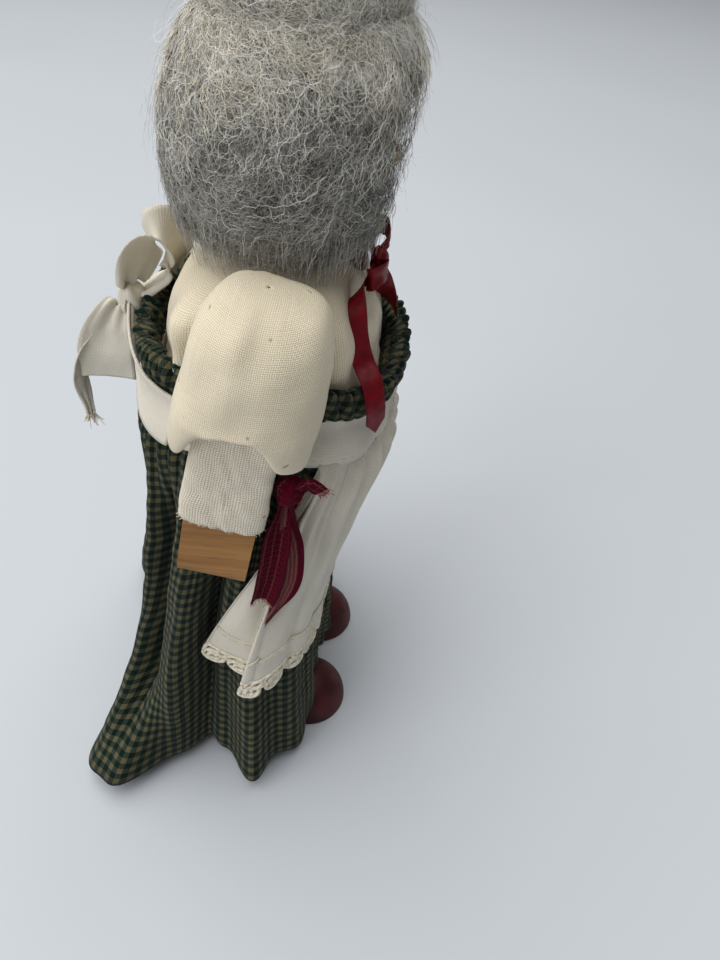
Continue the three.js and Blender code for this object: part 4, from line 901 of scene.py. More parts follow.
def frayed_end(name, grid, longest, material, body, slot, seed, radius=0.09):
    """Loose threads at the last row of a strip."""
    draw = np.random.default_rng(seed)
    count = 5 * grid.shape[1]
    column = draw.uniform(0, grid.shape[1] - 1.001, count)
    left = column.astype(int)
    part = (column - left)[:, None]
    root = blend(grid[-1][left], grid[-1][left + 1], part)
    way = unit(root - blend(grid[-3][left], grid[-3][left + 1], part))
    t = np.linspace(0, 1, 7)[None, :, None]
    stray = draw.normal(0, 0.35, (count, 1, 3))
    length = draw.uniform(0.3, 1.0, (count, 1, 1)) * longest
    fall = np.array([0, 0, -0.4]) * length * t**2
    paths = root[:, None] + length * (t * way[:, None] + t**2 * stray) + fall
    return declare(threads(name, paths, radius, material, 4), body, slot)


def declare_strip(made, node, body, slot, held, rests_on, more=()):
    piece, (width, length) = made[:2]
    declare(piece, body, slot, node)


def knot_piece(bow, centre, size, material, body, slot, mapped=None, seed=3, ridges=5):
    """A tied knot: a rounded lump with wrapped folds."""
    polar = np.linspace(0.02, math.pi - 0.02, 40)[:, None]
    angle = angles_round(64)
    wrap = 1 + 0.07 * np.cos(ridges * angle + 2.5 * np.cos(polar)) * np.sin(polar)
    across, down = np.degrees(angle) * 0.1, np.degrees(polar) * 0.1
    wrap = wrap + 0.05 * waves(across, down, count=8, seed=seed, longest=12, shortest=4)
    wrap = wrap - 0.1 * np.exp(-((np.cos(polar) / 0.16) ** 2)) * (0.5 + 0.5 * np.cos(angle))
    flat = np.sin(polar) * wrap
    grid = spread(flat * np.cos(angle), flat * np.sin(angle), np.cos(polar) * wrap) * size + centre
    if mapped is not None:
        grid = mapped(grid)
    uv = cloth_uv(grid, closed=True)
    piece = grid_piece(f"{bow}_knot_cloth", grid, uv, material, closed=True, flip=True)
    declare(piece, body, slot, f"{bow}_bow_knot")
    return piece


def apron_strip(part, rows, share, across, across_end, pinch, pinch_end=1.0, **shape):
    """A strip of the apron's bow, with its path and width in widths of a tail from the knot."""
    path = np.array(rows) * TAIL_WIDTH + APRON_KNOT
    width = TAIL_WIDTH * share
    return strip(f"apron_{part}_cloth", path, width, APRON, across, across_end, pinch, pinch_end, **shape)


def apron_bow():
    cloth = ("figure", "apron_linen")
    knot = knot_piece("apron", APRON_KNOT, APRON_KNOT_SIZE, APRON, *cloth)
    start = (APRON_KNOT_SIZE[2] - 0.6) / TAIL_WIDTH
    rows = [(-0.02, -0.02, start), (-0.07, -0.06, 0.45), (-0.07, -0.29, 0.93), (0.07, -0.58, 1.25),
            (0.29, -0.79, 1.21), (0.43, -0.86, 0.89), (0.36, -0.72, 0.54), (0.14, -0.44, 0.29),
            (0.04, -0.19, 0.11)]
    loop = apron_strip("loop", rows, 1.15, (0.5, -0.8, 0.2), (1, 0, 0.2), 0.5, 0.4,
                       crease=1.9, seed=61, steps=80)
    declare_strip(loop, "apron_bow_loop", *cloth, "folded", [knot])
    rows = [(-0.14, 0.1, -0.1), (-0.28, 0.22, 0.02), (-0.5, 0.41, -0.35), (-0.64, 0.49, -0.84),
            (-0.71, 0.5, -1.45)]
    long_tail = apron_strip("tail_long", rows, 1.1, (0.3, -0.9, 0), (0, -0.92, -0.38), 0.3,
                            crease=1.6, seed=62, curl=0.8, run=0.75)
    rows = [(-0.5, 0.75, -0.5), (-0.64, 1.02, -0.96), (-0.71, 1.1, -1.57), (-0.79, 1.04, -2.35)]
    curl = apron_strip("tail_curl", rows, 0.4, (0.9, 0.3, 0), (0.6, -0.6, 0), 0.5, 0.45, seed=64)
    fray = frayed_end("apron_tail_fray", curl[2], 3.0, STITCH, *cloth, 65)
    declare(curl[0], *cloth)
    declare_strip(long_tail, "apron_bow_tail_long", *cloth, "hung", [knot], [curl[0], fray])
    rows = [(-0.05, 0.05, -start), (-0.33, 0.07, -0.4), (-0.43, 0.13, -0.83), (-0.43, 0.16, -1.15)]
    short_tail = apron_strip("tail_short", rows, 0.5, (0.3, -0.95, 0), None, 0.5,
                             crease=1.2, seed=63, curl=-1.2)
    declare_strip(short_tail, "apron_bow_tail_short", *cloth, "hung", [knot])


def apron_tie(name, side):
    """Tie from the band's end round the back to the knot."""
    knot_turn = 180 - math.degrees(math.asin((APRON_KNOT_SIZE[0] - 0.4) / KNOT_REACH))
    end_drop = WAIST + WAIST_TILT - APRON_KNOT[2] + 1
    share = np.linspace(0, 1, 48)[:, None]
    j = np.linspace(-1, 1, 13)[None, :]
    turn = side * blend(BAND_END - 0.8, knot_turn, share)
    half = TIE_WIDTH / 2 * blend(1.35, 0.55, step(share, 0.0, 1))
    drop = blend((BAND_TOP + BAND_FOOT) / 2, end_drop, share**1.4) + j * half
    fold = 0.6 * np.cos(2.5 * math.pi * j) * step(share, 0.2, 1)
    stand = blend(CLOTH_GAP + 1.5, 4.9, share) + fold
    grid = on_skirt(turn + 0 * j, drop, stand)
    uv = cloth_uv(grid)
    piece = grid_piece(f"apron_tie_{name}_cloth", grid, uv, APRON, thickness=0.7, offset=0.0)
    flat = (TIE_WIDTH * MM * 1.2, flat_size(uv)[1])
    declare_strip((piece, flat), f"apron_tie_{name}", "figure", "apron_linen", "folded", [skirt])


apron_bow()
for side_name, side in SIDES.items():
    apron_tie(side_name, -side)


# Blouse body over the torso
BODICE_ROWS = [
    (138.0, 29.5, 26.5, 0.0), (150.0, 29.5, 26.5, 0.0), (170.0, 30.0, 25.5, 0.0), (181.0, 30.5, 20.0, 0.0),
    (185.5, 25.0, 16.0, 2.5), (187.6, 19.0, 13.0, 5.0),
]
COLLAR_TOP, COLLAR_RADIUS = 191.6, 11.1


def between(z, foot, low, high, top):
    """1 from low to high, falling to 0 at foot and top."""
    return step(z, foot, low) * step(-z, -top, -high)


def ridge(turn, middle, spread_half):
    """One round fold of the blouse down its right side."""
    return np.exp(-(((turn + 360 - middle) / spread_half) ** 2))


def bodice_piece():
    rows = smooth_path(BODICE_ROWS, 76)
    z, half_width, half_depth, ahead = rows.T[..., None]
    turn = turns(220)
    cloth = CLOTH_GAP + BODICE_BULK * blend(1.0, 0.45, step(z, 184, 188))
    reach = section(turn, half_width + cloth, half_depth + cloth, 2.5)
    pleats = 0.5 * (gather_wave(turn, count=40, seed=71, wander=4.0) - 0.5) * step(-z, -176, -150)
    drape = 0.55 * waves(turn * 0.55, z, count=10, seed=73, longest=26, shortest=9)
    drape = drape * between(z, 150, 160, 180, 188)
    # a loose fold behind the right arm narrows to a point at the waist, and a smaller one lies before it
    slim = blend(3.2, 9.0, step(z, 163, 182))
    back_fold = 5.8 * ridge(turn, 121, slim) * between(z, 160, 167, 178, 188.5)
    front_fold = (3.2 * ridge(turn, 54, 7) - 2.0 * ridge(turn, 67, 4)) * between(z, 152, 166, 176, 187)
    back = -2.0 * step(-np.cos(np.radians(turn)), 0.1, 0.7) * between(z, 152, 162, 181, 187)
    grid = from_centre(turn, reach + pleats + drape + back_fold + front_fold + back, 0.0, z)
    grid[..., 1] -= ahead
    share = np.linspace(0, 1, 9)[1:, None]
    radius = blend(rows[-1, 1] + 1.0, COLLAR_RADIUS, np.minimum(1.0, share * 1.6))
    collar = from_centre(turn, radius, -NECK_FORWARD, blend(rows[-1, 0], COLLAR_TOP, share))
    grid = np.concatenate([grid, collar])[::-1]
    uv = cloth_uv(grid, closed=True)
    piece = grid_piece("bodice_cloth", grid, uv, MUSLIN, closed=True, thickness=0.5)
    declare(piece, "figure", "muslin", "bodice")
    return piece


bodice = bodice_piece()


# Arms: sleeve, cuff and, on the right one, the homespun bow
def on_arm(side_name):
    """Maps points of an arm's own place, x outwards and -z down the arm, to the doll's axis."""
    side, lean = SIDES[side_name], math.radians(LEANS[side_name])
    c, s = math.cos(lean), math.sin(lean)

    def mapped(points):
        p = np.asarray(points, float)
        x = side * (p[..., 0] + SHOULDER[0])
        y = p[..., 1] * c - p[..., 2] * s + SHOULDER[1]
        z = p[..., 1] * s + p[..., 2] * c + SHOULDER[2]
        return np.stack([x, y, z], -1)

    return mapped


# rows of a sleeve: drop below the shoulder, share of the way in to the waistband, stand-off there,
# shares of bulge and width, share of the width behind the arm
SLEEVE_ROWS = [
    (-13.0, 0, 3.2, 0.5, 0.66, 0.74), (-11.44, 0, 1.92, 0.64, 0.82, 0.74), (-7.15, 0, 0, 0.79, 0.94, 0.78),
    (0, 0, 0, 0.91, 0.99, 0.84), (7.9, 0, 0, 0.97, 1.0, 0.88), (13.95, 0.65, 0, 1, 1, 0.9),
    (19.1, 1, 0, 0.98, 0.97, 0.86), (21.8, 1, 0.8, 0.92, 0.87, 0.82), (22.5, 1, 1.92, 0.85, 0.76, 0.8),
]
# arch of the lower edge over the cuff: height, middle and half width across the arm
SLEEVE_ARCH, ARCH_MIDDLE, ARCH_HALF = 8.0, 1.0, 9.8


def arm_tube(name, grid, uv, material, thickness, side_name):
    """A closed sheet round an arm. The left arm mirrors the right one, so its faces are turned round."""
    return grid_piece(name, grid, uv, material, closed=True, thickness=thickness, flip=side_name == "left")


def sleeve_piece(side_name):
    mapped = on_arm(side_name)
    rows = []
    for drop, low, stand, bulge, width, behind in SLEEVE_ROWS:
        seam = blend(SLEEVE_SEAM, SLEEVE_INNER, step(drop, 2, 12))
        inner = blend(seam, SLEEVE_LOW, low) + stand
        outer = bulge * SLEEVE_BULGE
        rows.append((drop, (inner + outer) / 2, (outer - inner) / 2, width * SLEEVE_HALF_WIDTH, behind))
    # the lower edge is turned under, back up to the cuff
    for rise, *wider in ((0.8, 1.8, 1.2), (4, 0.5, 0.4)):
        half = [cuff + more for cuff, more in zip(CUFF_HALF, wider)]
        rows.append((SLEEVE_DROP - rise, FOREARM_MIDDLE, *half, 1.0))
    first = rows[0]
    rows = [(first[0] - 0.5, first[1], 0.4, 0.4, first[4])] + rows
    drop, centre, half_x, half_y, behind = smooth_path(rows, 84).T[..., None]
    columns = 140
    angle = np.linspace(-math.pi, math.pi, columns, endpoint=False)[None, :]
    reach = rounded(angle, np.maximum(half_x, 0.2), np.maximum(half_y, 0.2), 2.3)
    seed = 81 + SIDES[side_name]
    ripple = 0.35 * waves(np.degrees(angle) * 0.3, drop, count=10, seed=seed, longest=26, shortest=8)
    low_folds = 0.5 * np.cos(9 * angle + 1.3 * np.sin(2 * angle))
    low_folds = low_folds * step(drop, 0.55 * SLEEVE_DROP, SLEEVE_DROP)
    reach = reach + (ripple + low_folds) * step(reach, 3, 9)
    x = centre + reach * np.cos(angle)
    y = reach * np.sin(angle)
    y = np.where(y > 0, y * behind, y)
    low = step(drop, 0.4 * SLEEVE_DROP, SLEEVE_DROP)
    sag = SLEEVE_LOBE * low * (y / SLEEVE_HALF_WIDTH) ** 2 * np.where(y > 0, 1.3, 0.35)
    arch = SLEEVE_ARCH * low * np.exp(-(((y - ARCH_MIDDLE) / ARCH_HALF) ** 6))
    grid = mapped(spread(x, y, arch - drop - sag))
    uv = centred_uv(grid, columns // 2)
    piece = arm_tube(f"{side_name}_sleeve_cloth", grid, uv, MUSLIN, 0.5, side_name)
    arm = f"{side_name}_arm"
    declare(piece, arm, "muslin", f"{side_name}_sleeve")
    width = float((uv[:, -1, 0] - uv[:, 0, 0]).mean()) * MM


def cuff_piece(side_name):
    mapped = on_arm(side_name)
    drop = np.linspace(CUFF_TOP - SLEEVE_ARCH - 4, CUFF_END, 44)[:, None]
    angle = angles_round(150)
    across = np.degrees(angle) * 0.25
    grow = blend(-0.3, 0.35, step(drop, CUFF_TOP, CUFF_END))
    grow = grow + 0.18 * waves(across, drop, count=8, seed=91 + SIDES[side_name], longest=14, shortest=5)
    reach = rounded(angle, CUFF_HALF[0] + grow, CUFF_HALF[1] + grow, CUFF_SQUARE)
    x = FOREARM_MIDDLE + reach * np.cos(angle)
    edge = 0.35 * waves(across, drop * 0, count=8, seed=95, longest=9, shortest=2)
    edge = edge * step(drop, CUFF_END - 3, CUFF_END)
    grid = mapped(spread(x, reach * np.sin(angle), -drop + edge))
    uv = cloth_uv(grid, closed=True)
    piece = arm_tube(f"{side_name}_cuff_cloth", grid, uv, CUFF_MUSLIN, 0.7, side_name)
    # raw edge: short loose threads
    draw = np.random.default_rng(97 + SIDES[side_name])
    count = 110
    turn = draw.uniform(0, 2 * math.pi, count)
    out = rounded(turn, CUFF_HALF[0] + 0.2, CUFF_HALF[1] + 0.2, CUFF_SQUARE)
    t = np.linspace(0, 1, 6)[None, :]
    length = draw.uniform(0.5, 1.2, count)[:, None]
    lean = draw.uniform(-0.6, 0.6, count)[:, None]
    bow = draw.uniform(-0.25, 0.35, count)[:, None]
    px = FOREARM_MIDDLE + (out * np.cos(turn))[:, None] + bow * t * np.cos(turn)[:, None]
    py = (out * np.sin(turn))[:, None] + lean * t**2 + bow * t * np.sin(turn)[:, None]
    pz = -CUFF_END + 0.5 - length * t
    fray = threads(f"{side_name}_cuff_fray", mapped(np.stack([px, py, pz], -1)), 0.09, MUSLIN_THREAD, 4)
    arm = f"{side_name}_arm"
    declare(piece, arm, "muslin", f"{side_name}_cuff")
    declare(fray, arm, "muslin")


# strips of the wrist bow in widths of a strip from the knot: path, share of the width, way across it at the
# knot and at its end, pinch at the end, length of its point, curl, cloth, how it is held
WRIST_FOOT = (WRIST_KNOT_SIZE[2] - 0.6) / STRIP_WIDTH
WRIST_STRIPS = {
    "stub": ([(0.15, -0.2, 0.12), (0.15, -0.45, 0.42), (0.1, -0.78, 0.28)],
             0.55, (0.3, 0.1, 1), (0.4, 0.3, 1), 1.0, 0.0, 0.0, HOMESPUN, "hung"),
    "tail": ([(0.0, -0.05, -WRIST_FOOT), (-0.08, -0.26, -1.41), (-0.08, -0.54, -2.31),
              (-0.08, -0.74, -3.58), (-0.08, -0.62, -4.7), (-0.08, -0.34, -5.8)],
             0.62, (0.1, 1, 0), (0.1, 1, -0.3), 0.3, 3.0, 0.8, HOMESPUN_PALE, "hung"),
    "loop": ([(-0.05, -0.02, -WRIST_FOOT), (0.05, -0.03, -1.54), (0.08, -0.1, -2.78),
              (0.05, -0.13, -3.9), (-0.02, -0.1, -4.7)],
             0.72, (0.1, 1, 0), (0.1, 1, 0.1), 0.9, 0.0, -2.8, HOMESPUN, "folded"),
}


def wrist_bow():
    mapped = on_arm("right")
    cloth = ("right_arm", "homespun")
    knot = knot_piece("wrist", WRIST_KNOT, WRIST_KNOT_SIZE, HOMESPUN, *cloth, mapped, seed=5, ridges=4)

    def arm_way(way):
        return mapped(np.array(way)) - mapped(np.zeros(3))

    for index, (name, job) in enumerate(WRIST_STRIPS.items()):
        rows, share, across, across_end, pinch_end, point, curl, material, held = job
        path = mapped(np.array(rows) * STRIP_WIDTH + WRIST_KNOT)
        ways = arm_way(across), arm_way(across_end)
        made = strip(f"wrist_{name}_cloth", path, STRIP_WIDTH * share, material, *ways,
                     pinch=0.45, pinch_end=pinch_end, thickness=0.35, crease=1.2, curl=curl,
                     seed=101 + index, point=point)
        declare_strip(made, f"wrist_bow_{name}", *cloth, held, [knot])
        frayed_end(f"wrist_{name}_fray", made[2], 1.6, WINE_THREAD, *cloth, 105 + index)


for side_name in SIDES:
    sleeve_piece(side_name)
    cuff_piece(side_name)
wrist_bow()


# Neck ribbon and its bow
RIBBON_BACK, RIBBON_FRONT, RIBBON_HALF, RIBBON_LEVEL, RIBBON_DIP = 6.4, 24.8, 13.5, 191.3, 7.0
TAIL_FOOT = 0.8 - NECK_KNOT_SIZE[2]
# tails: path, way across the ribbon at the knot and at its end, length of the cut point
NECK_TAILS = {
    "right": ([NECK_KNOT + (-2.4, -0.4, TAIL_FOOT), (-9.5, -26.2, 183.6), (-17.5, -23.4, 183.0),
               (-21.8, -23.4, 179.5), (-24.2, -24.6, 173.5), (-25.6, -26.4, 168.4),
               (-29.5, -28.8, 165.4), (-32.2, -30.4, 159.5), (-31.0, -30.8, 152.5)],
              (0.2, -0.3, 0.9), (0.6, -0.8, -0.1), 4.5),
    "left": ([NECK_KNOT + (2.4, -0.4, TAIL_FOOT), (5.0, -29.4, 175.5), (9.0, -31.4, 168.5),
              (12.5, -33.6, 162.5)],
             (-0.38, 0.5, -0.78), (0.88, -0.05, -0.47), 0.5),
}


def neck_ring():
    """Ribbon laid on the collar, dipping at the front to the knot."""
    angle = angles_round(160)
    lift = np.linspace(0.5, -0.5, 9)[:, None]
    y = (RIBBON_BACK - RIBBON_FRONT) / 2 + (RIBBON_BACK + RIBBON_FRONT) / 2 * np.sin(angle)
    dip = RIBBON_DIP * step(-y, RIBBON_FRONT - 6, RIBBON_FRONT)
    x = (RIBBON_HALF + 0.15 * np.cos(math.pi * lift)) * np.cos(angle)
    grid = spread(x, y, RIBBON_LEVEL - dip + lift * RIBBON_WIDTH)
    uv = cloth_uv(grid, closed=True)
    ring = grid_piece("neck_ribbon_cloth", grid, uv, SATIN, closed=True, thickness=0.3, offset=0.0)
    declare(ring, "figure", "satin", "neck_ribbon")


def neck_bow():
    cloth = ("figure", "satin")
    knot = knot_piece("neck", NECK_KNOT, NECK_KNOT_SIZE, SATIN, *cloth, seed=7, ridges=4)
    neck_ring()
    knot_side = (NECK_KNOT_SIZE[0] - 0.4) / RIBBON_TAIL
    rows = np.array([(knot_side, -0.05, 0.12), (1.41, -0.34, 0.34), (2.19, -0.16, 0.5), (2.42, 0.22, 0.34),
                     (1.88, 0.41, 0.03), (knot_side, 0.2, -0.18)])
    for index, (name, side) in enumerate(SIDES.items()):
        path = rows * (side, 1, 1) * RIBBON_TAIL + NECK_KNOT
        made = strip(f"neck_loop_{name}_cloth", path, RIBBON_TAIL * 0.85, SATIN, (0, 0, 1),
                     pinch=0.5, pinch_end=0.5, thickness=0.28, steps=64, crease=0.6, seed=111 + index)
        declare_strip(made, f"neck_bow_loop_{name}", *cloth, "folded", [knot])
    for index, (name, (path, across, across_end, point)) in enumerate(NECK_TAILS.items()):
        made = strip(f"neck_tail_{name}_cloth", path, RIBBON_TAIL * 0.9, SATIN, across, across_end,
                     pinch=0.6, thickness=0.28, crease=0.5, seed=121 + index, point=point)
        declare_strip(made, f"neck_bow_tail_{name}", *cloth, "hung", [knot])


neck_bow()


# Hair: felted wool base, then loose curly strands
def wool_base(name, node):
    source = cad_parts[node]
    mesh = source.data.copy()
    mesh.name = name
    piece = bpy.data.objects.new(name, mesh)
    bpy.context.scene.collection.objects.link(piece)
    remesh = piece.modifiers.new("remesh", "REMESH")
    remesh.mode = "VOXEL"
    remesh.voxel_size = 1.1 * MM
    smooth = piece.modifiers.new("smooth", "SMOOTH")
    smooth.iterations = 6
    shown = piece.evaluated_get(bpy.context.evaluated_depsgraph_get())
    shape = bpy.data.meshes.new_from_object(shown)
    piece.modifiers.clear()
    piece.data = shape
    shape.name = name
    bpy.data.meshes.remove(mesh)
    count = len(shape.vertices)
    at = np.empty((count, 3), np.float32)
    normals = np.empty((count, 3), np.float32)
    shape.vertices.foreach_get("co", at.ravel())
    shape.vertices.foreach_get("normal", normals.ravel())
    lumps = np.array([noise.noise(p * 110.0) + 0.5 * noise.noise(p * 320.0) for p in map(np_vector, at)])
    at = at + normals * (lumps[:, None] * 0.9 - 0.7) * MM
    shape.vertices.foreach_set("co", at.astype(np.float32).ravel())
    shape.polygons.foreach_set("use_smooth", np.ones(len(shape.polygons), bool))
    shape.materials.clear()
    shape.materials.append(WOOL_BASE)
    shape.update()
    declare(piece, "head", "wool", node)


def np_vector(values):
    return Vector([float(v) for v in values])


def wig_share(points):
    """Share of the wool cap's radius at each point. The cap leans forwards towards its top."""
    out = points - WIG_CENTRE
    ahead = out[..., 1] + WIG_LEAN * out[..., 2]
    level = np.hypot(out[..., 0] / WIG_RADII[0], ahead / WIG_RADII[1])
    rise = np.abs(out[..., 2] / WIG_RADII[2])
    return (level**WIG_FULLNESS + rise**WIG_FULLNESS) ** (1 / WIG_FULLNESS)


def bun_share(points):
    return np.linalg.norm((points - BUN_CENTRE) / BUN_RADII, axis=-1)


def nearer_wool(points):
    """For each point the middle of the nearer wool form, the way out there and the share of its radius."""
    wig, bun = wig_share(points), bun_share(points)
    on_bun = (bun < wig)[..., None]
    centre = np.where(on_bun, BUN_CENTRE, WIG_CENTRE)
    radii = np.where(on_bun, BUN_RADII, WIG_RADII)
    return centre, unit((points - centre) / radii**2), np.minimum(wig, bun)


def lifted(points, height):
    """Points moved along their radius to the given height above the wool."""
    centre, normal, share = nearer_wool(points)
    return centre + (points - centre) / np.maximum(share[..., None], 1e-6) + normal * height[..., None]


def face_share(points, margin):
    """Below 1 within the face's oval, made smaller by a margin."""
    x = (points[..., 0] - FACE_CENTRE[0]) / (FACE_HALF[0] - margin)
    z = (points[..., 2] - FACE_CENTRE[1]) / (FACE_HALF[1] - margin)
    return x**2 + z**2


def hair_roots(count):
    """Seeded places all over wig and bun, without the face and the part inside the other form."""
    found = []
    while sum(map(len, found)) < count:
        on_bun = rng.random(count) < 0.2
        ways = unit(rng.normal(size=(count, 3)))
        centre = np.where(on_bun[:, None], BUN_CENTRE, WIG_CENTRE)
        out = ways * np.where(on_bun[:, None], BUN_RADII, WIG_RADII)
        share = np.where(on_bun, bun_share(centre + out), wig_share(centre + out))
        at = centre + out / share[:, None]
        other = np.where(on_bun, wig_share(at), bun_share(at))
        free = (other > 0.97) & (at[:, 2] > WIG_HEM + 0.5)
        free &= (face_share(at, 0.0) > 1.0) | (at[:, 1] > FACE_BACK)
        found.append(at[free])
    return np.concatenate(found)[:count]


def wavy_paths(roots, steps, length, height, curl, loose):
    """Strands that run down over the wool in small waves, swirl in patches and rise towards their ends."""
    count = len(roots)
    normal = nearer_wool(roots)[1]
    swirl = np.array([noise.noise_vector(np_vector(p * 0.05)) for p in roots])
    heading = np.array([0, 0, -1.0]) + 1.3 * swirl + loose * rng.normal(size=(count, 3))
    heading = unit(heading - normal * (heading * normal).sum(1, keepdims=True))
    t = np.linspace(0, 1, steps)
    stride = (length / (steps - 1))[:, None]
    phase, pace = rng.uniform(0, 2 * math.pi, count), rng.uniform(1.1, 2.1, count)
    drift = rng.normal(0, 0.06, count)
    path = [roots]
    for i in range(1, steps):
        here = path[-1]
        normal = nearer_wool(here)[1]
        side = np.cross(normal, heading)
        bend = curl * np.cos(phase + pace * i) + drift
        heading = unit(heading * np.cos(bend)[:, None] + side * np.sin(bend)[:, None])
        heading = unit(heading - normal * (heading * normal).sum(1, keepdims=True))
        path.append(here + heading * stride)
    path = np.stack(path, 1)
    wave = rng.uniform(0, 2 * math.pi, (count, 1)) + t[None, :] * rng.uniform(4, 11, (count, 1))
    up = height[:, None] * t[None, :] + 0.35 * np.sin(wave)
    return lifted(path, up)


def strand_mesh(paths, widths):
    ways = along(paths)
    spin = unit(rng.normal(size=(len(paths), 1, 3)) + 0 * paths)
    side = unit(np.cross(ways, spin))
    taper = (1 - np.linspace(0, 1, paths.shape[1]) ** 4 * 0.6)[None, :, None]
    reach = side * widths[:, None, None] * taper / 2
    points = np.stack([paths - reach, paths + reach], 2)
    faces = grid_faces(paths.shape[1], 2)
    faces = (faces[None] + (np.arange(len(paths)) * paths.shape[1] * 2)[:, None, None]).reshape(-1, 4)
    return points.reshape(-1, 3), faces


def clear_of_face(paths):
    inside = (face_share(paths, FACE_MARGIN) < 1) & (paths[..., 1] < FACE_BACK - 5)
    return ~inside.any(axis=1)


def hanging(paths):
    """Strands that fall nearly straight once they are below the cap's widest part near its hem."""
    fallen = [paths[:, 0]]
    for i in range(1, paths.shape[1]):
        stride = paths[:, i] - paths[:, i - 1]
        low = (fallen[-1][:, 2] < WIG_HEM + FALL_FROM)[:, None]
        fallen.append(fallen[-1] + np.where(low, stride * (0.25, 0.25, 1.0), stride))
    return np.stack(fallen, 1)


def hair_piece(name, count, tone, steps, length, height, width, curl, loose, hem_only=False):
    material, bias = WOOLS[tone]
    roots = hair_roots(count * 4 if hem_only else count)
    if hem_only:
        roots = roots[roots[:, 2] < WIG_HEM + FRINGE]
        count = len(roots)
    cloud = np.array([noise.noise(np_vector(p * 0.085)) for p in roots])
    # random patches of tone, plus painted light: the share of pale strands grows towards the top of the
    # wool and that of dark ones low down
    shade = 1.7 * cloud - 1.9 * (roots[:, 2] - PAINTED_LIGHT_LEVEL) / PAINTED_LIGHT_SPAN
    keep = rng.random(count) < np.clip(0.75 + bias * shade, 0.08, 1.0)
    roots = roots[keep]
    count = len(roots)
    paths = wavy_paths(roots, steps, rng.uniform(*length, count), rng.uniform(*height, count), curl, loose)
    lowest = WIG_HEM - (10 if hem_only else 5)
    paths = paths[clear_of_face(paths) & (paths[..., 2].min(axis=1) > lowest)]
    if hem_only:
        paths = hanging(paths)
    points, faces = strand_mesh(paths, rng.uniform(*width, len(paths)))
    uv = np.stack([
        (np.arctan2(points[:, 0], points[:, 1]) / (2 * math.pi) + 0.5) * 0.96 + 0.02,
        (points[:, 2] - 185) / 85 * 0.96 + 0.02], 1)
    piece = make_piece(name, points, faces, material, uv[faces.ravel()], "OFBake")
    declare(piece, "head", "wool")


wool_base("wig_wool", "wig")
wool_base("bun_wool", "hair_bun")
# strands: name, count, tone, steps, length, height at the ends, width, curl, looseness
STRAND_JOBS = (
    ("wool_dark_a", 7000, "dark", 16, (8, 16), (-0.6, 0.4), (0.1, 0.16), 0.7, 0.4),
    ("wool_grey_a", 8600, "grey", 16, (8, 17), (-0.4, 0.7), (0.09, 0.15), 0.7, 0.4),
    ("wool_light_a", 8600, "light", 16, (8, 18), (-0.2, 0.9), (0.08, 0.13), 0.75, 0.45),
    ("wool_cream_a", 8600, "cream", 16, (8, 18), (-0.2, 0.9), (0.08, 0.13), 0.75, 0.45),
    ("wool_light_b", 1500, "light", 22, (12, 26), (1.0, 5.0), (0.06, 0.1), 0.6, 0.9),
)
FRINGE_JOBS = (
    ("wool_grey_hem", 2200, "grey", 16, (9, 17), (0.0, 1.6), (0.09, 0.14), 0.75, 0.5),
    ("wool_light_hem", 1500, "light", 16, (9, 19), (0.2, 2.2), (0.08, 0.13), 0.85, 0.6),
)
for job in STRAND_JOBS:
    hair_piece(*job)
for job in FRINGE_JOBS:
    hair_piece(*job, hem_only=True)


# Head with its painted face
def head_piece():
    polar = np.linspace(0.001, math.pi - 0.63, 90)[:, None]
    angle = angles_round(128)
    way = spread(np.sin(polar) * np.sin(angle), -np.sin(polar) * np.cos(angle), np.cos(polar))
    at = way * HEAD_RADIUS + HEAD_CENTRE
    from_nose = (at[..., 0] / NOSE_HALF[0]) ** 2 + ((at[..., 2] - NOSE_AT) / NOSE_HALF[1]) ** 2
    nose = NOSE_REACH * np.exp(-from_nose) * (way[..., 1] < 0)
    at = at + way * nose[..., None]
    piece = grid_piece("head_wood", at, cloth_uv(at, closed=True), FACE, closed=True, flip=True)
    declare(piece, "head", "bare_wood", "head")


head_piece()


# Elastic in the skirt's casing
ELASTIC_HALF = 2.0


def elastic_piece():
    turn = turns(180)
    z = waist_at(turn) + np.linspace(ELASTIC_HALF, -ELASTIC_HALF, 7)[:, None]
    rib = 0.08 * np.cos(np.radians(turn) * 90)
    reach = section(turn, GATHER_INNER[0] + 0.4, GATHER_INNER[1] + 0.4, 2.5) + rib
    grid = from_centre(turn, reach, 0.0, z)
    uv = cloth_uv(grid, closed=True)
    piece = grid_piece("elastic_band", grid, uv, APRON, closed=True, thickness=0.6, offset=0.0)
    declare(piece, "figure", "elastic", "waist_elastic")


elastic_piece()


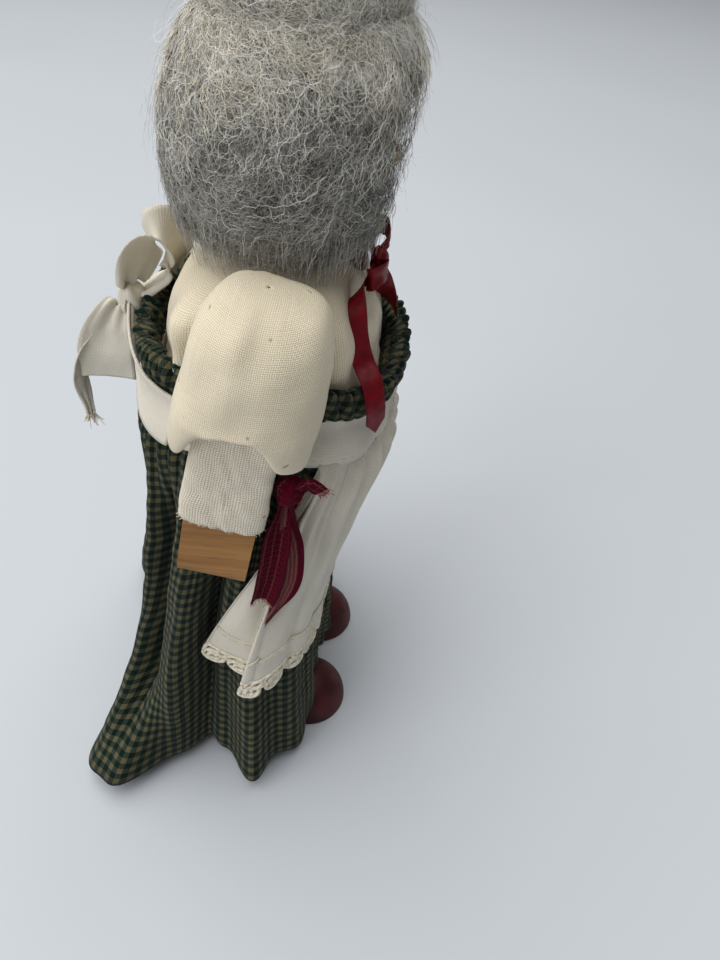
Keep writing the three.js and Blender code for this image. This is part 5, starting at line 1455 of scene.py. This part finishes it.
# Shoes: round toes, flat soles
def shoe_piece(side_name):
    y = blend(TOE, HEEL, (1 - np.cos(np.linspace(0, math.pi, 60))) / 2)[:, None]
    toe_share = np.clip((TOE + SHOE_RADIUS - y) / SHOE_RADIUS, 0, 1)
    heel_share = np.clip((y - HEEL + HEEL_ROUND) / HEEL_ROUND, 0, 1)
    reach = SHOE_RADIUS * np.sqrt(np.maximum((1 - toe_share**2) * (1 - heel_share**2), 0))
    angle = np.linspace(0, math.pi, 48)[None, :]
    top = spread(SIDES[side_name] * STANCE / 2 + reach * np.cos(angle), y, reach * np.sin(angle))
    under = blend(top[:, -1:], top[:, :1], np.linspace(0, 1, 14)[None, 1:-1, None])
    grid = np.concatenate([top, under], axis=1)
    uv = cloth_uv(grid, closed=True)
    piece = grid_piece(f"{side_name}_shoe_wood", grid, uv, PAINT, closed=True, flip=True)
    declare(piece, "figure", "shoe_paint", f"{side_name}_shoe")


for side_name in SIDES:
    shoe_piece(side_name)


# Wooden and steel solids keep their own shape
FINISHES = {
    "torso": LEG_WOOD, "neck_post": LEG_WOOD, "right_leg": LEG_WOOD, "left_leg": LEG_WOOD,
    "right_arm": WOOD, "left_arm": WOOD,
    "right_shoulder_screw": STEEL, "left_shoulder_screw": STEEL,
    "right_shoulder_washer": STEEL, "left_shoulder_washer": STEEL,
}
for node, material in FINISHES.items():
    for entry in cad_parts[node].material_slots:
        entry.material = material


# Floor, light and view, in metres
FLOOR_HALF = 6.0


def floor_piece():
    m = Maker("floor_paper", roughness=0.9, specular=0.2)
    cloud = m.noise(m.place(), 3.0, 3.0)
    material = m.finish(m.mix(cloud, linear("c7ccd2"), linear("cdd2d7")))
    points = FLOOR_HALF * np.array([[-1, -1, 0], [1, -1, 0], [1, 1, 0], [-1, 1, 0]]) / MM
    floor = make_piece("floor", points, np.array([[0, 1, 2, 3]]), material)


def area_light(name, at, aim, size, watts, tint):
    data = bpy.data.lights.new(name, "AREA")
    data.energy, data.size, data.color = watts, size, tint
    lamp = bpy.data.objects.new(name, data)
    spot = np.array(at)
    back = unit(spot - np.array(aim))
    side = unit(np.cross([0.0, 0.0, 1.0], back))
    lamp.matrix_world = stance(side, np.cross(back, side), back, spot)
    bpy.context.scene.collection.objects.link(lamp)


floor_piece()
WARM, COOL = (1.0, 0.99, 0.97), (0.98, 0.985, 1.0)
area_light("overhead", at=(0.4, 0.45, 2.2), aim=(0.25, 0.1, 0.0), size=2.6, watts=57.0, tint=WARM)
area_light("fill", at=(-0.7, 0.75, 0.9), aim=(0, 0, 0.14), size=0.8, watts=6.0, tint=COOL)
world = bpy.data.worlds.new("studio")
bpy.context.scene.world = world
world.use_nodes = True
world.node_tree.nodes["Background"].inputs["Color"].default_value = (0.82, 0.85, 0.9, 1.0)
world.node_tree.nodes["Background"].inputs["Strength"].default_value = 0.18
bpy.context.scene.view_settings.view_transform = "Standard"
